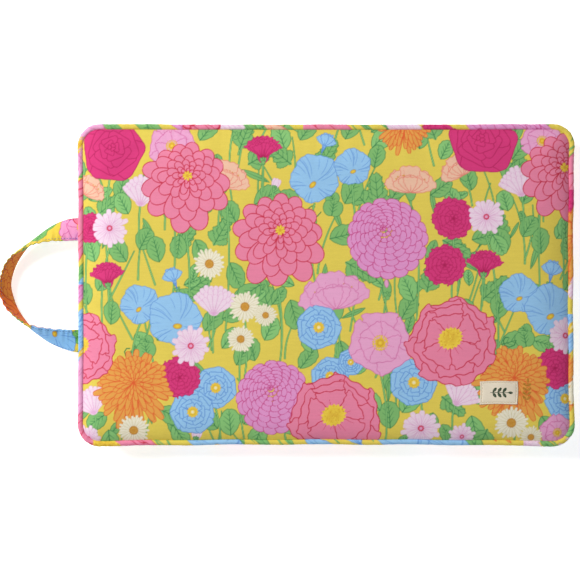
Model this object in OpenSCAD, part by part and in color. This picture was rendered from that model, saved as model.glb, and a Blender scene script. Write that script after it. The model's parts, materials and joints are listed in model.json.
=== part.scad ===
// Garden kneeling pad: foam slab in a zipped, piped fabric cover with a carry handle.
// Frame: origin at the centre of the underside, +X away from the handle, +Y towards the zip, +Z up.
// Lengths are in millimetres.

/* [Pad] */
// Length over the piping, along X
pad_l = 460; // [450:5:520]
// Width over the piping, along Y
pad_w = 298; // [240:2:340]
// Height over both rows of piping
side_h = 40; // [36:1:50]
// Corner radius over the piping
corner_r = 21; // [18:1:30]
// Rise of the crowned top panel above the piping
crown = 7.4; // [3:0.2:8]

/* [Cover] */
// Thickness of the cover cloth with its backing
cloth = 1.0; // [0.8:0.1:1.2]
// Outside radius of the piping
pipe_r = 2.7; // [2.5:0.1:3]
// Radius of the cord inside the piping
cord_r = 1.9; // [1.7:0.1:1.9]
// Width of the sewn flange of the piping
flange_w = 8; // [6:0.5:8]

/* [Handle] */
// Width of the handle strap
strap_w = 21.5; // [18:0.5:26]
// Thickness of the folded strap
strap_t = 2.2; // [2:0.1:2.4]
// Distance between the centres of the two handle ends
strap_span = 105; // [90:1:120]
// How far the strap reaches out from its hinge line
strap_reach = 73.6; // [60:0.1:80]
// Lean of the strap past upright at the middle of the loop
strap_lean = 18; // [5:1:20]

/* [Zip] */
// Length of the zip between its end stops
zip_l = 380; // [300:10:380]
// Pitch of the teeth on one side
tooth_pitch = 2.4; // [2.4:0.2:3.6]
// Length of the pull tab
pull_l = 24; // [20:1:28]

/* [Label] */
// Label size along X
label_l = 35; // [28:1:40]
// Label size along Y
label_w = 21.5; // [16:0.5:26]
// Centre of the label along X
label_x = 158.7; // [120:0.1:160]
// Centre of the label along Y
label_y = -99.2; // [-105:0.1:-90]

/* [Hidden] */

gap = 0.2;                         // clearance between neighbouring pieces
hx = pad_l/2;                      // half length over the piping
hy = pad_w/2;                      // half width over the piping
z_base = 0.4 + pipe_r;             // height of the base piping's centreline
z_top = side_h - pipe_r;           // height of the top piping's centreline
band_in = 4.0;                     // side band's outer face, inwards from the outline
band_lo = z_base + pipe_r - 0.1;   // lower edge of the side band
band_hi = z_top - pipe_r + 0.1;    // upper edge of the side band
panel_in = 2*pipe_r + gap;         // edge of the top and base panels, inwards from the outline
flange_t = 0.8;
mid_z = (band_lo + band_hi)/2;     // middle height of the side band

cloth_yellow = [0.90, 0.78, 0.25];
cloth_pink = [0.92, 0.45, 0.60];
cloth_blue = [0.50, 0.72, 0.92];

// ---------------------------------------------------------------- helpers
// Rounded rectangle as points, counter-clockwise
function rr(a, b, r, n = 10) = [
  for (q = [0:3]) let (cx = (q==0||q==3) ? a-r : r-a, cy = (q<2) ? b-r : r-b)
    for (i = [0:n]) [cx + r*cos(90*q + 90*i/n), cy + r*sin(90*q + 90*i/n)]];
// Corner radius of the outline moved in by e: it tightens in the cover, then opens again over the crown
function r_at(e) = e < corner_r - 6 ? corner_r - e : max(6, 0.55*e);
module plate(e, z0, z1, r = undef, n = 10) {
  translate([0, 0, z0]) linear_extrude(height = z1 - z0)
    polygon(rr(hx - e, hy - e, r == undef ? r_at(e) : r, n));
}
module ring(e0, e1, z0, z1) {
  difference() {
    plate(e0, z0, z1);
    plate(e1, z0 - 1, z1 + 1);
  }
}
// Solid tube along the outline, centreline moved in by pipe_r
module loop_solid(r) {
  a = hx - pipe_r;
  b = hy - pipe_r;
  c = corner_r - pipe_r;
  for (s = [-1, 1]) {
    translate([-(a - c), s*b, 0]) rotate([0, 90, 0]) cylinder(h = 2*(a - c), r = r, $fn = 32);
    translate([s*a, -(b - c), 0]) rotate([-90, 0, 0]) cylinder(h = 2*(b - c), r = r, $fn = 32);
  }
  for (q = [0:3])
    translate([(q==0||q==3) ? a-c : c-a, (q<2) ? b-c : c-b, 0])
      rotate([0, 0, 90*q]) rotate_extrude(angle = 90, $fn = 64) translate([c, 0]) circle(r = r, $fn = 32);
}

// Height profile of the crowned top: inset from the outline, height above the piping's seam
function crown_pts() = [[panel_in, 0], [12, 0.46], [34, 0.82], [80, 0.965], [120, 1]];
seam_z = z_top + flange_t/2 + gap;                 // underside of the top panel at its edge
crown_rise = side_h + crown - cloth - seam_z;      // from that edge to the middle
module dome(inset, drop, floor_z) {
  hull() for (p = crown_pts())
    let (e = max(p[0], inset), z = seam_z + crown_rise*p[1] - drop)
      plate(e, floor_z, max(z, floor_z + 0.01), r_at(e), 8);
}

// ---------------------------------------------------------------- filling
module foam_core() {
  color([0.95, 0.93, 0.86]) union() {
    // body of the slab, cut short on the zip side
    difference() {
      plate(2*pipe_r + 0.3, z_base + flange_t/2 + gap, z_top - flange_t/2 - gap);
      translate([-hx, hy - 8.2, -1]) cube([2*hx, 20, side_h + 2]);
    }
    // rises above and below the piping flanges
    dome(panel_in + flange_w + gap, gap, z_top - 8);
    plate(panel_in + flange_w + gap, cloth + gap, z_base + 8, 10);
  }
}

// ---------------------------------------------------------------- cover panels
module top_panel() {
  color(cloth_yellow) difference() {
    translate([0, 0, cloth]) dome(panel_in, 0, seam_z - cloth);
    dome(panel_in - 1.2, -0.001, seam_z - 5);
  }
}
module base_panel() {
  color(cloth_yellow) plate(panel_in, 0, cloth);
}
zip_half = zip_l/2;
rear_end = hx - corner_r - 2;      // where the side band meets the zip plackets
module side_band() {
  color(cloth_pink) difference() {
    ring(band_in, band_in + cloth, band_lo, band_hi);
    translate([-rear_end, hy - 8, band_lo - 1]) cube([2*rear_end, 8, band_hi - band_lo + 2]);
  }
}
slot_half = 4.6;                   // half height of the opening between the plackets
module placket(z0, z1) {
  translate([-rear_end + gap, hy - band_in - cloth, z0])
    cube([2*(rear_end - gap), cloth, z1 - z0]);
}
module zip_placket_upper() { color(cloth_blue) placket(mid_z + slot_half, band_hi); }
module zip_placket_lower() { color(cloth_blue) placket(band_lo, mid_z - slot_half); }

// ---------------------------------------------------------------- piping
module piping_cover(z) {
  difference() {
    union() {
      translate([0, 0, z]) loop_solid(pipe_r);
      ring(2*pipe_r - 0.4, panel_in + flange_w - gap, z - flange_t/2, z + flange_t/2);
    }
    translate([0, 0, z]) loop_solid(cord_r + 0.1);
  }
}
module top_piping_cover() { color(cloth_pink) piping_cover(z_top); }
module base_piping_cover() { color(cloth_pink) piping_cover(z_base); }
module top_piping_cord() { color("ivory") translate([0, 0, z_top]) loop_solid(cord_r); }
module base_piping_cord() { color("ivory") translate([0, 0, z_base]) loop_solid(cord_r); }

// ---------------------------------------------------------------- zip
tape_y = hy - band_in - cloth - gap - 0.6;         // inner face of the tapes
tape_t = 0.6;
mid_gap = 0.5;                                     // half the gap that the slider's post runs in
tooth_y = tape_y + tape_t + 0.05;                  // teeth stand on the tape's outer face
tooth_t = 1.8;
tooth_h = 2.2;
module zip_tape(s) {
  translate([-rear_end + 1, tape_y, s > 0 ? mid_z + mid_gap : mid_z - mid_gap - 12])
    cube([2*(rear_end - 1), tape_t, 12]);
}
module zip_tape_upper() { color([0.93, 0.55, 0.65]) zip_tape(1); }
module zip_tape_lower() { color([0.93, 0.55, 0.65]) zip_tape(-1); }
module zip_teeth(s) {
  n = floor((zip_l - 4)/tooth_pitch);
  for (i = [0:n - 1])
    translate([-zip_half + 2 + (i + (s > 0 ? 0 : 0.5))*tooth_pitch, tooth_y,
               s > 0 ? mid_z + mid_gap : mid_z - mid_gap - tooth_h])
      cube([tooth_pitch*0.52, tooth_t, tooth_h]);
}
module zip_teeth_upper() { color([0.95, 0.93, 0.88]) zip_teeth(1); }
module zip_teeth_lower() { color([0.95, 0.93, 0.88]) zip_teeth(-1); }
module zip_end_stops() {
  color("silver") {
    // one stop on each tape at the closed end
    for (s = [-1, 1])
      translate([zip_half + 0.4, tooth_y, s > 0 ? mid_z + mid_gap + 0.1 : mid_z - mid_gap - 0.1 - tooth_h])
        cube([2.2, tooth_t, tooth_h]);
    // one stop across both tapes at the open end
    translate([-zip_half - 2.6, tooth_y, mid_z - mid_gap - tooth_h])
      cube([2.2, tooth_t, 2*(mid_gap + tooth_h)]);
  }
}
slider_x = zip_half - 6;           // centre of the slider with the zip closed
slider_l = 11;
plate_y = tooth_y + tooth_t + gap; // inner face of the slider's outer plate
bar_y = plate_y + 2.1;             // centre of the pull's pivot bar
module zip_slider() {
  color("silver") translate([slider_x, 0, mid_z]) union() {
    // outer plate: wide at the front, narrow at the back
    translate([0, plate_y, 0]) rotate([-90, 0, 0]) linear_extrude(height = 1)
      polygon([[-slider_l/2, -3.3], [-1, -4], [slider_l/2 - 1.6, -4], [slider_l/2, -2.8],
               [slider_l/2, 2.8], [slider_l/2 - 1.6, 4], [-1, 4], [-slider_l/2, 3.3]]);
    // inner plate
    translate([0, tape_y - gap - 0.9, 0]) rotate([-90, 0, 0]) linear_extrude(height = 0.9)
      polygon([[-slider_l/2, -3.1], [slider_l/2 - 1.6, -3.8], [slider_l/2, -2.6],
               [slider_l/2, 2.6], [slider_l/2 - 1.6, 3.8], [-slider_l/2, 3.1]]);
    // post that joins the plates and parts the teeth
    translate([1.2, tape_y - gap - 0.1, -0.35]) cube([3.4, plate_y - tape_y + gap + 0.2, 0.7]);
    // side flanges of the outer plate
    for (s = [-1, 1])
      translate([-1, tape_y + tape_t + 0.4, s*3.6 - 0.4]) cube([slider_l/2 - 0.6, plate_y - tape_y - tape_t, 0.8]);
    // arch that holds the pull
    for (s = [-1, 1]) translate([s*2.9 - 0.5, plate_y + 0.9, -1.1]) cube([1, 3.05, 2.2]);
    translate([-3.4, plate_y + 2.95, -1.1]) cube([6.8, 0.9, 2.2]);
  }
}
module zip_pull() {
  color("silver") translate([slider_x, bar_y, mid_z]) union() {
    // pivot bar, under the arch
    translate([0, 0, -2.2]) cylinder(h = 4.4, r = 0.6, $fn = 32);
    // two arms past the arch's leg, then the tab
    for (s = [-1, 1]) translate([-5.4, -0.6, s*1.85 - 0.45]) cube([5.4, 1.2, 0.9]);
    rotate([-90, 0, 0]) translate([0, 0, -0.6]) linear_extrude(height = 1.2) difference() {
      polygon([[-4.6, -2.3], [-7, -2.3], [-pull_l + 3.4, -3.1], [-pull_l + 1.2, -2.8], [-pull_l, -1.2],
               [-pull_l, 1.2], [-pull_l + 1.2, 2.8], [-pull_l + 3.4, 3.1], [-7, 2.3], [-4.6, 2.3]]);
      translate([-pull_l + 4.2, 0]) circle(r = 1.3, $fn = 32);
    }
  }
}

// ---------------------------------------------------------------- handle
hinge_x = -hx + 0.6;               // hinge line of the handle, just outside the side band
hinge_z = mid_z + 1.4;
tab_y = strap_span/2;
tab_lo = band_lo + 2.8;
tab_hi = hinge_z - strap_t/2 - 0.3;
band_x = -hx + band_in;            // outer face of the side band at the handle
arc_half = (strap_reach + strap_span/2)*0.777;     // about half of the loop's length
N = 80;
function tau(f) = (90 + strap_lean)*sin(90*min(1, f*arc_half/88));
// f is -90 at one end, 0 at the middle, 90 at the other end
function strap_f(p) = 1 - abs(p)/90;
function smooth(t) = t*t*(3 - 2*t);
// In plan each half is a cubic curve: straight out of the seam, then rounding to the middle of the loop
function strap_c(p) = let (t = strap_f(p), u = 1 - t) [
  hinge_x - strap_reach*(1.56*u*u*t + 3*u*t*t + t*t*t),
  -tab_y*sign(p)*(u*u*u + 3*u*u*t + 1.8*u*t*t),
  hinge_z + (strap_w/2*cos(strap_lean) + 0.7 - hinge_z)*smooth(min(1, strap_f(p)*arc_half/88))];
function unit(v) = v/norm(v);
function strap_t_dir(p) = abs(p) > 89.5 ? [p < 0 ? -1 : 1, 0, 0] :
  unit(strap_c(min(p + 0.4, 90)) - strap_c(max(p - 0.4, -90)));
// width direction, from the loop's inner edge to its outer edge
function w_dir(p) = let (a = tau(strap_f(p)), n = plan_out(p)) [n[0]*cos(a), n[1]*cos(a), -sin(a)];
function plan_out(p) = let (t = strap_t_dir(p), q = unit([t[0], t[1], 0])) [q[1], -q[0], 0];
function n_dir(p) = unit(cross(strap_t_dir(p), w_dir(p)));
function strap_p(i) = -90*cos(180*i/N);          // stations bunch up at the two ends
function corner_pts(p, w, t) = let (c = strap_c(p), W = w_dir(p)*w/2, M = n_dir(p)*t/2)
  [c - W - M, c + W - M, c + W + M, c - W + M];
module ribbon(w, t, i0, i1, push = 0) {
  pts = [for (i = [i0:i1]) each [for (q = corner_pts(strap_p(i), w, t))
          q + (i == 0 || i == N ? [push, 0, 0] : [0, 0, 0])]];
  m = i1 - i0;
  polyhedron(points = pts, convexity = 6, faces = concat(
    [[0, 1, 2, 3]],
    [for (k = [0:m - 1]) for (j = [0:3]) let (a = 4*k + j, b = 4*k + (j + 1)%4)
      [b, a, a + 4]],
    [for (k = [0:m - 1]) for (j = [0:3]) let (a = 4*k + j, b = 4*k + (j + 1)%4)
      [b, a + 4, b + 4]],
    [[4*m + 3, 4*m + 2, 4*m + 1, 4*m]]));
}
module handle_loop() {
  color(cloth_blue) union() {
    difference() {
      ribbon(strap_w, strap_t, 0, N);
      ribbon(strap_w - 2.6, 1.0, 0, N, 1);
    }
    // rolled fold of the cloth on the hinge line at each end
    for (s = [-1, 1]) translate([hinge_x, s*tab_y - strap_w/2, hinge_z]) rotate([-90, 0, 0])
      cylinder(h = strap_w, r = strap_t/2, $fn = 32);
  }
}
module handle_interlining() {
  color([0.9, 0.9, 0.88]) ribbon(strap_w - 3.4, 0.6, 5, N - 5);
}
// one stitch every step along the strap, on both faces, near the inner edge
module handle_edge_stitching() {
  color([0.35, 0.45, 0.80])
    for (k = [0:60]) let (p = -81 + 162*k/60, c = strap_c(p), T = strap_t_dir(p), W = w_dir(p), M = n_dir(p))
      for (s = [-1, 1])
        multmatrix([[T[0], W[0], M[0], c[0]], [T[1], W[1], M[1], c[1]], [T[2], W[2], M[2], c[2]], [0, 0, 0, 1]])
          translate([-0.9, -strap_w/2 + 1.6, s*(strap_t/2 + 0.5) - 0.15]) cube([1.8, 0.5, 0.3]);
}
module handle_end_tabs() {
  color(cloth_blue) for (s = [-1, 1])
    translate([band_x - gap - strap_t, s*tab_y - strap_w/2, tab_lo]) cube([strap_t, strap_w, tab_hi - tab_lo]);
}
module handle_backing_patches() {
  color([0.9, 0.9, 0.88]) for (s = [-1, 1])
    translate([band_x + cloth + 0.03, s*tab_y - strap_w/2 - 3, tab_lo - 1]) cube([0.14, strap_w + 6, tab_hi - tab_lo + 6]);
}
module stitch_yz(y, z, a) {
  translate([band_x - gap - strap_t - 0.33, y, z]) rotate([a, 0, 0]) translate([0, -0.8, -0.22]) cube([0.3, 1.6, 0.44]);
}
module handle_box_stitching() {
  w = strap_w - 4;
  h = tab_hi - tab_lo - 3;
  zc = (tab_lo + tab_hi)/2;
  color([0.35, 0.45, 0.80]) for (s = [-1, 1]) {
    for (k = [0:6]) for (q = [-1, 1]) stitch_yz(s*tab_y - w/2 + 1.2 + k*(w - 2.4)/6, zc + q*h/2, 0);
    for (k = [0:2]) for (q = [-1, 1]) stitch_yz(s*tab_y + q*w/2, zc - h/2 + 1.6 + k*(h - 3.2)/2, 90);
    for (k = [0:5]) if (k != 3) for (q = [-1, 1])
      stitch_yz(s*tab_y + q*(-w/2 + 2.4 + k*(w - 4.8)/6 ), zc - h/2 + 1.4 + k*(h - 2.8)/6, q*atan2(h - 2.8, w - 4.8));
  }
}

// ---------------------------------------------------------------- label
function seg_z(e) = let (c = crown_pts(), k = e > 80 ? 3 : e > 34 ? 2 : 1, a = c[k], b = c[k + 1])
  seam_z + cloth + crown_rise*(a[1] + (b[1] - a[1])*(e - a[0])/(b[0] - a[0]));
label_e = hy + label_y;            // distance from the front outline to the label's centre
label_slope = atan2(seg_z(label_e + 8) - seg_z(label_e - 8), 16);
module on_label(h) {
  translate([label_x, label_y, seg_z(label_e) + 0.12]) rotate([label_slope, 0, 2]) translate([0, 0, h]) children();
}
module label_patch() {
  color([0.93, 0.89, 0.80]) on_label(0) translate([-label_l/2, -label_w/2, 0]) cube([label_l, label_w, 0.6]);
}
module label_stitching() {
  color([0.80, 0.78, 0.68]) on_label(0.63) {
    for (k = [0:9]) for (s = [-1, 1])
      translate([-label_l/2 + 2.6 + k*(label_l - 5.2)/9 - 0.9, s*(label_w/2 - 1.6) - 0.2, 0]) cube([1.8, 0.4, 0.25]);
    for (k = [0:5]) for (s = [-1, 1])
      translate([s*(label_l/2 - 1.5) - 0.2, -label_w/2 + 3.4 + k*(label_w - 6.8)/5 - 0.9, 0]) cube([0.4, 1.8, 0.25]);
  }
}
// Plain sprig of leaves in raised thread
module leaf2d(l, w) {
  polygon([for (i = [0:12]) [l*i/12, w/2*sin(180*i/12)], for (i = [11:-1:1]) [l*i/12, -w/2*sin(180*i/12)]]);
}
module label_emblem() {
  color([0.12, 0.27, 0.12]) on_label(0.63) {
    translate([-8, -0.35, 0]) cube([16, 0.7, 0.35]);
    for (k = [0:2]) for (s = [-1, 1])
      translate([-6 + 4.6*k, s*0.6, 0]) rotate([0, 0, s*52]) linear_extrude(height = 0.35) leaf2d(5.4, 2.4);
    translate([8.3, 0, 0]) linear_extrude(height = 0.35) leaf2d(4.2, 2.2);
  }
}

// The same kind of sprig in gold thread, worked straight into the top panel beside the label
module embroidered_sprig() {
  color([0.72, 0.58, 0.25]) translate([label_x + 26, label_y + 1, seg_z(50) + 0.12]) rotate([0, 0, 88]) {
    translate([-11, -0.35, 0]) cube([19, 0.7, 0.35]);
    for (k = [0:3]) for (s = [-1, 1])
      translate([-7.6 + 4.2*k, s*0.6, 0]) rotate([0, 0, s*48]) linear_extrude(height = 0.35) leaf2d(4.6, 2.1);
    translate([8.3, 0, 0]) linear_extrude(height = 0.35) leaf2d(3.6, 2.0);
  }
}

foam_core();
top_panel();
base_panel();
side_band();
zip_placket_upper();
zip_placket_lower();
zip_tape_upper();
zip_tape_lower();
zip_teeth_upper();
zip_teeth_lower();
zip_end_stops();
zip_slider();
zip_pull();
top_piping_cover();
top_piping_cord();
base_piping_cover();
base_piping_cord();
handle_end_tabs();
handle_backing_patches();
handle_box_stitching();
handle_loop();
handle_interlining();
handle_edge_stitching();
label_patch();
label_stitching();
label_emblem();
embroidered_sprig();
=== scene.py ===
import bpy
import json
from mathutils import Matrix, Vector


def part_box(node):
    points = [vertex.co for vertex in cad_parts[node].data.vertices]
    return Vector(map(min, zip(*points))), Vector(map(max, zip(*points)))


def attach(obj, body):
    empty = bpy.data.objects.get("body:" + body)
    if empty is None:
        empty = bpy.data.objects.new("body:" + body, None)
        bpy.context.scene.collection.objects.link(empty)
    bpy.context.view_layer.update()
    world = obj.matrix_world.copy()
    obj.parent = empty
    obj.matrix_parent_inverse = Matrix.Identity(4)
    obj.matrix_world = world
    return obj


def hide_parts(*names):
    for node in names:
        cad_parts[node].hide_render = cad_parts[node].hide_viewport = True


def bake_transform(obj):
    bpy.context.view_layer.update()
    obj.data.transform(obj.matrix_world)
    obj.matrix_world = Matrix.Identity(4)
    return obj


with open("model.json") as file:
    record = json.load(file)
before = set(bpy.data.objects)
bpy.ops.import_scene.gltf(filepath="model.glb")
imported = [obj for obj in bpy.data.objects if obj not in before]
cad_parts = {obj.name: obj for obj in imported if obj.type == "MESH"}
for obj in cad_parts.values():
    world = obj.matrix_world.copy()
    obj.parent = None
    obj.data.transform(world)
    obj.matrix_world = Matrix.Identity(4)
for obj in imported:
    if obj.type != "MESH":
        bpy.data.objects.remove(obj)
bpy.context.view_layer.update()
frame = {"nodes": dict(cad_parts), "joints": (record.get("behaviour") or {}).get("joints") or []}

import json
import math

import bpy
import numpy as np
from mathutils import Vector
from mathutils.bvhtree import BVHTree

# Everything below is worked out in millimetres and turned into metres when a mesh is made.

# ------------------------------------------------------------------ the printed cloth
# A garden-flower print drawn with signed distances into an array, in millimetres on the cloth.
# Every motif is a plain drawing made of petals, discs and strokes.
RES = 0.30
PX0, PX1, PY0, PY1 = -250.0, 250.0, -172.0, 172.0
PW, PH = int((PX1 - PX0) / RES), int((PY1 - PY0) / RES)
RNG = np.random.default_rng(4242)


def srgb(*c):
    return np.array(c, np.float32) / 255.0


GROUND = srgb(226, 205, 88)
cloth = np.empty((PH, PW, 3), np.float32)
cloth[:] = GROUND


def window(x0, x1, y0, y1):
    i0, i1 = max(0, int((x0 - PX0) / RES) - 1), min(PW, int((x1 - PX0) / RES) + 3)
    j0, j1 = max(0, int((y0 - PY0) / RES) - 1), min(PH, int((y1 - PY0) / RES) + 3)
    if i1 <= i0 or j1 <= j0:
        return None
    x = PX0 + (np.arange(i0, i1, dtype=np.float32) + 0.5) * RES
    y = PY0 + (np.arange(j0, j1, dtype=np.float32) + 0.5) * RES
    return (slice(j0, j1), slice(i0, i1)), x[None, :], y[:, None]


def cover(d):
    return np.clip(d / RES + 0.5, 0.0, 1.0)


def put(where, alpha, colour):
    c = cloth[where]
    c += (colour - c) * alpha[..., None]


def mix(a, b, t):
    return a + (b - a) * t[..., None]


def step01(t):
    t = np.clip(t, 0.0, 1.0)
    return t * t * (3 - 2 * t)


def petal(x, y, ang, L, wd, fill, line=None, lw=0.55, a=0.75, b=0.42, veins=0, frill=0.0, bend=0.0, ph=0.0, la=0.9, vl=0.6, shade=None):
    """A petal from (x, y) along ang: a sets how fast it opens, b how blunt its tip is. A flat fill with a drawn outline and drawn veins."""
    ca, sa = math.cos(ang), math.sin(ang)
    m = wd + abs(bend) + 1
    xs = [x + ca * t - sa * s for t in (-1, L + 1) for s in (-m, m)]
    ys = [y + sa * t + ca * s for t in (-1, L + 1) for s in (-m, m)]
    win = window(min(xs), max(xs), min(ys), max(ys))
    if win is None:
        return
    where, X, Y = win
    u = ((X - x) * ca + (Y - y) * sa) / L
    v = -(X - x) * sa + (Y - y) * ca
    uu = np.clip(u, 0.004, 0.996)
    v = v - bend * np.sin(uu * 2.2) * uu
    norm = (a / (a + b)) ** a * (b / (a + b)) ** b
    w = wd * (uu ** a) * ((1 - uu) ** b) / norm
    if frill:
        w = w * (1 + frill * np.sin(uu * 26 + ph) * uu)
    slope = w * (a / uu - b / (1 - uu)) / L
    d = (w - np.abs(v)) / np.sqrt(1 + slope * slope)
    d = np.where((u < 0) | (u > 1), -2.0, d)
    if frill:
        edge = 1 - frill * 0.55 * (1 + np.sin(v * (9.0 / max(wd, 1)) + ph)) * 0.5
        d = np.minimum(d, (edge - u) * L * 0.9)
    al = cover(d)
    col = np.broadcast_to(fill, d.shape + (3,))
    if shade is not None:
        col = mix(col, shade, (1 - step01(u * 2.6)) * 0.75)
    if veins and line is not None:
        q = v / np.maximum(w, 0.4)
        for k in range(veins):
            at = 0.0 if veins == 1 else (k / (veins - 1) - 0.5) * 1.05
            at += 0.10 * math.sin(ph * 3 + k * 2.1)
            reach = vl * (0.78 + 0.22 * math.cos(k * 2.4 + ph))
            wide = 0.30 * (1 - np.clip(u / reach, 0, 1)) + 0.10
            f = cover(wide - np.abs(q - at) * w) * (u < reach) * (u > 0.10)
            col = mix(col, line, f * 0.85)
    if line is not None:
        col = mix(col, line, cover(lw * 1.22 - d) * min(1, la * 1.08))
    put(where, al, col)


def disc(x, y, r, inner, outer, line=None, lw=0.4, lumps=0, lump=0.08, flat=1.0, tilt=0.0):
    win = window(x - r - 1, x + r + 1, y - r - 1, y + r + 1)
    if win is None:
        return
    where, X, Y = win
    c, s = math.cos(tilt), math.sin(tilt)
    p, q2 = (X - x) * c + (Y - y) * s, (-(X - x) * s + (Y - y) * c) / flat
    q = np.hypot(p, q2)
    rr = r
    if lumps:
        rr = r * (1 - lump + lump * np.cos(lumps * np.arctan2(q2, p)))
    d = (rr - q) * (0.5 + 0.5 * flat)
    col = mix(inner, outer, step01(q / r))
    if line is not None:
        col = mix(col, line, cover(lw - d) * 0.9)
    put(where, cover(d), col)


def dots(x, y, r, n, size, colour, jitter=0.15, line=None):
    for k in range(n):
        t = 2 * math.pi * (k + RNG.uniform(-jitter, jitter)) / n
        q = r * (1 + RNG.uniform(-jitter, jitter) * 0.6)
        disc(x + q * math.cos(t), y + q * math.sin(t), size * RNG.uniform(0.8, 1.2), colour, colour * 0.93, line, 0.25)


def stroke(pts, w0, w1, colour, line=None, n=18):
    """A tapering line through a quadratic or cubic set of control points."""
    p = np.array(pts, np.float64)
    t = np.linspace(0, 1, n + 1)[:, None]
    if len(p) == 2:
        c = p[0] * (1 - t) + p[1] * t
    elif len(p) == 3:
        c = p[0] * (1 - t) ** 2 + 2 * p[1] * t * (1 - t) + p[2] * t ** 2
    else:
        c = p[0] * (1 - t) ** 3 + 3 * p[1] * t * (1 - t) ** 2 + 3 * p[2] * t ** 2 * (1 - t) + p[3] * t ** 3
    m = max(w0, w1) + 1
    win = window(c[:, 0].min() - m, c[:, 0].max() + m, c[:, 1].min() - m, c[:, 1].max() + m)
    if win is None:
        return
    where, X, Y = win
    best = np.full((Y.shape[0], X.shape[1]), -1e3, np.float32)
    for k in range(n):
        ax, ay = c[k]
        dx, dy = c[k + 1] - c[k]
        s = np.clip(((X - ax) * dx + (Y - ay) * dy) / (dx * dx + dy * dy + 1e-9), 0, 1)
        wid = w0 + (w1 - w0) * (k + s) / n
        best = np.maximum(best, wid - np.hypot(X - ax - s * dx, Y - ay - s * dy))
    col = np.broadcast_to(colour, best.shape + (3,))
    if line is not None:
        col = mix(col, line, cover(0.38 - best) * 0.8)
    put(where, cover(best), col)


G1, G2, G3, G4 = srgb(128, 186, 112), srgb(136, 196, 120), srgb(106, 168, 96), srgb(62, 128, 78)
PINK, PINKS, DEEP = srgb(234, 134, 166), srgb(214, 92, 128), srgb(196, 44, 68)
LPINK, LROSE = srgb(232, 166, 206), srgb(206, 104, 162)
MAG, MAGD = srgb(214, 58, 124), srgb(166, 26, 80)
BLUE, BLUED = srgb(150, 198, 238), srgb(88, 136, 210)
ORA, ORAD = srgb(230, 162, 78), srgb(222, 96, 50)
PEACH, PEACHD = srgb(238, 192, 166), srgb(226, 116, 104)
CREAM, OCHRE, YEL, GOLDD = srgb(240, 234, 214), srgb(204, 146, 58), srgb(240, 210, 74), srgb(214, 166, 50)
PALE, PALED = srgb(238, 214, 232), srgb(220, 160, 204)
MAUVE, MAUVED = srgb(224, 150, 204), srgb(192, 62, 126)


def leaf(x, y, ang, L, wd, c1=None, c2=None, teeth=0.06, bend=0.0):
    c1 = G1 if c1 is None else c1
    petal(x, y, ang, L, wd, c1, G4, 0.45, a=0.7, b=0.62, frill=teeth, bend=bend, ph=RNG.uniform(0, 6), la=0.8)
    ca, sa = math.cos(ang), math.sin(ang)
    stroke([(x, y), (x + ca * L * 0.5 - sa * bend * 0.6, y + sa * L * 0.5 + ca * bend * 0.6), (x + ca * L * 0.92 - sa * bend * 0.8, y + sa * L * 0.92 + ca * bend * 0.8)], 0.40, 0.18, G4)
    for k in range(1, 5):
        f = k / 5.4
        mx, my = x + ca * L * f - sa * bend * f * 0.8, y + sa * L * f + ca * bend * f * 0.8
        for s in (-1, 1):
            t = ang + s * 0.7
            q = wd * 0.78 * math.sin(math.pi * min(0.95, f + 0.12))
            stroke([(mx, my), (mx + q * math.cos(t), my + q * math.sin(t))], 0.26, 0.14, G4, n=4)


def lobed(x, y, ang, L):
    """A deeply cut leaf: pairs of rounded lobes on a rib."""
    ca, sa = math.cos(ang), math.sin(ang)
    for k in range(4):
        f = 0.10 + 0.20 * k
        for s in (-1, 1):
            q = L * (0.40 - 0.05 * k)
            petal(x + ca * L * f, y + sa * L * f, ang + s * (0.95 - 0.1 * k), q, q * 0.30, G1, G4, 0.45, a=0.45, b=0.32, frill=0.12, ph=k + s, la=0.8)
    petal(x + ca * L * 0.2, y + sa * L * 0.2, ang, L * 0.8, L * 0.17, G1, G4, 0.45, a=0.5, b=0.35, frill=0.10, la=0.8)
    petal(x, y, ang, L * 0.9, L * 0.13, G1, None, a=0.4, b=0.4)
    stroke([(x, y), (x + ca * L * 0.88, y + sa * L * 0.88)], 0.42, 0.18, G4)
    for k in range(4):
        f = 0.14 + 0.19 * k
        for s in (-1, 1):
            t = ang + s * 0.85
            q = L * (0.27 - 0.03 * k)
            stroke([(x + ca * L * f, y + sa * L * f), (x + ca * L * f + q * math.cos(t), y + sa * L * f + q * math.sin(t))], 0.26, 0.14, G4, n=4)


def stem(*pts, w=0.95):
    stroke(pts, w, w * 0.85, G2, G4)


def sepals(x, y, ang, r):
    for s in (-0.55, 0, 0.55):
        petal(x, y, ang + s, r, r * 0.30, G1, G4, 0.35, a=0.6, b=0.8, la=0.8)
    disc(x, y, r * 0.34, G1, G1, G4, 0.3)


def reach(ox, oy, r, t):
    """Distance from a point (ox, oy) inside a circle of radius r to its edge, along t."""
    c = ox * math.cos(t) + oy * math.sin(t)
    return -c + math.sqrt(max(c * c - ox * ox - oy * oy + r * r, 1e-6))


def daisy(x, y, r, turn=0.0, body=None, line=None, eye=None, eyed=None, n=19):
    body = CREAM if body is None else body
    line = srgb(206, 196, 150) if line is None else line
    pink = eye is not None
    for q, f in ((1.0, 0.0), (0.86, 0.5)):
        for k in range(n):
            t = turn + 2 * math.pi * (k + f) / n + RNG.uniform(-0.06, 0.06)
            petal(x, y, t, r * q * RNG.uniform(0.88, 1.04), r * (0.135 if pink else 0.088), body, line, 0.32, a=0.9, b=0.25, la=0.62, veins=1 if pink else 0, vl=0.7)
    if pink:
        disc(x, y, r * 0.16, eye, eye, eyed, 0.4, lumps=9, lump=0.06)
        disc(x, y, r * 0.075, LPINK, LPINK)
    else:
        disc(x, y, r * 0.29, OCHRE, OCHRE, srgb(176, 116, 40), 0.4, lumps=15, lump=0.05)
        dots(x, y, r * 0.15, 9, r * 0.03, srgb(222, 172, 84), 0.3)


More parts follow.
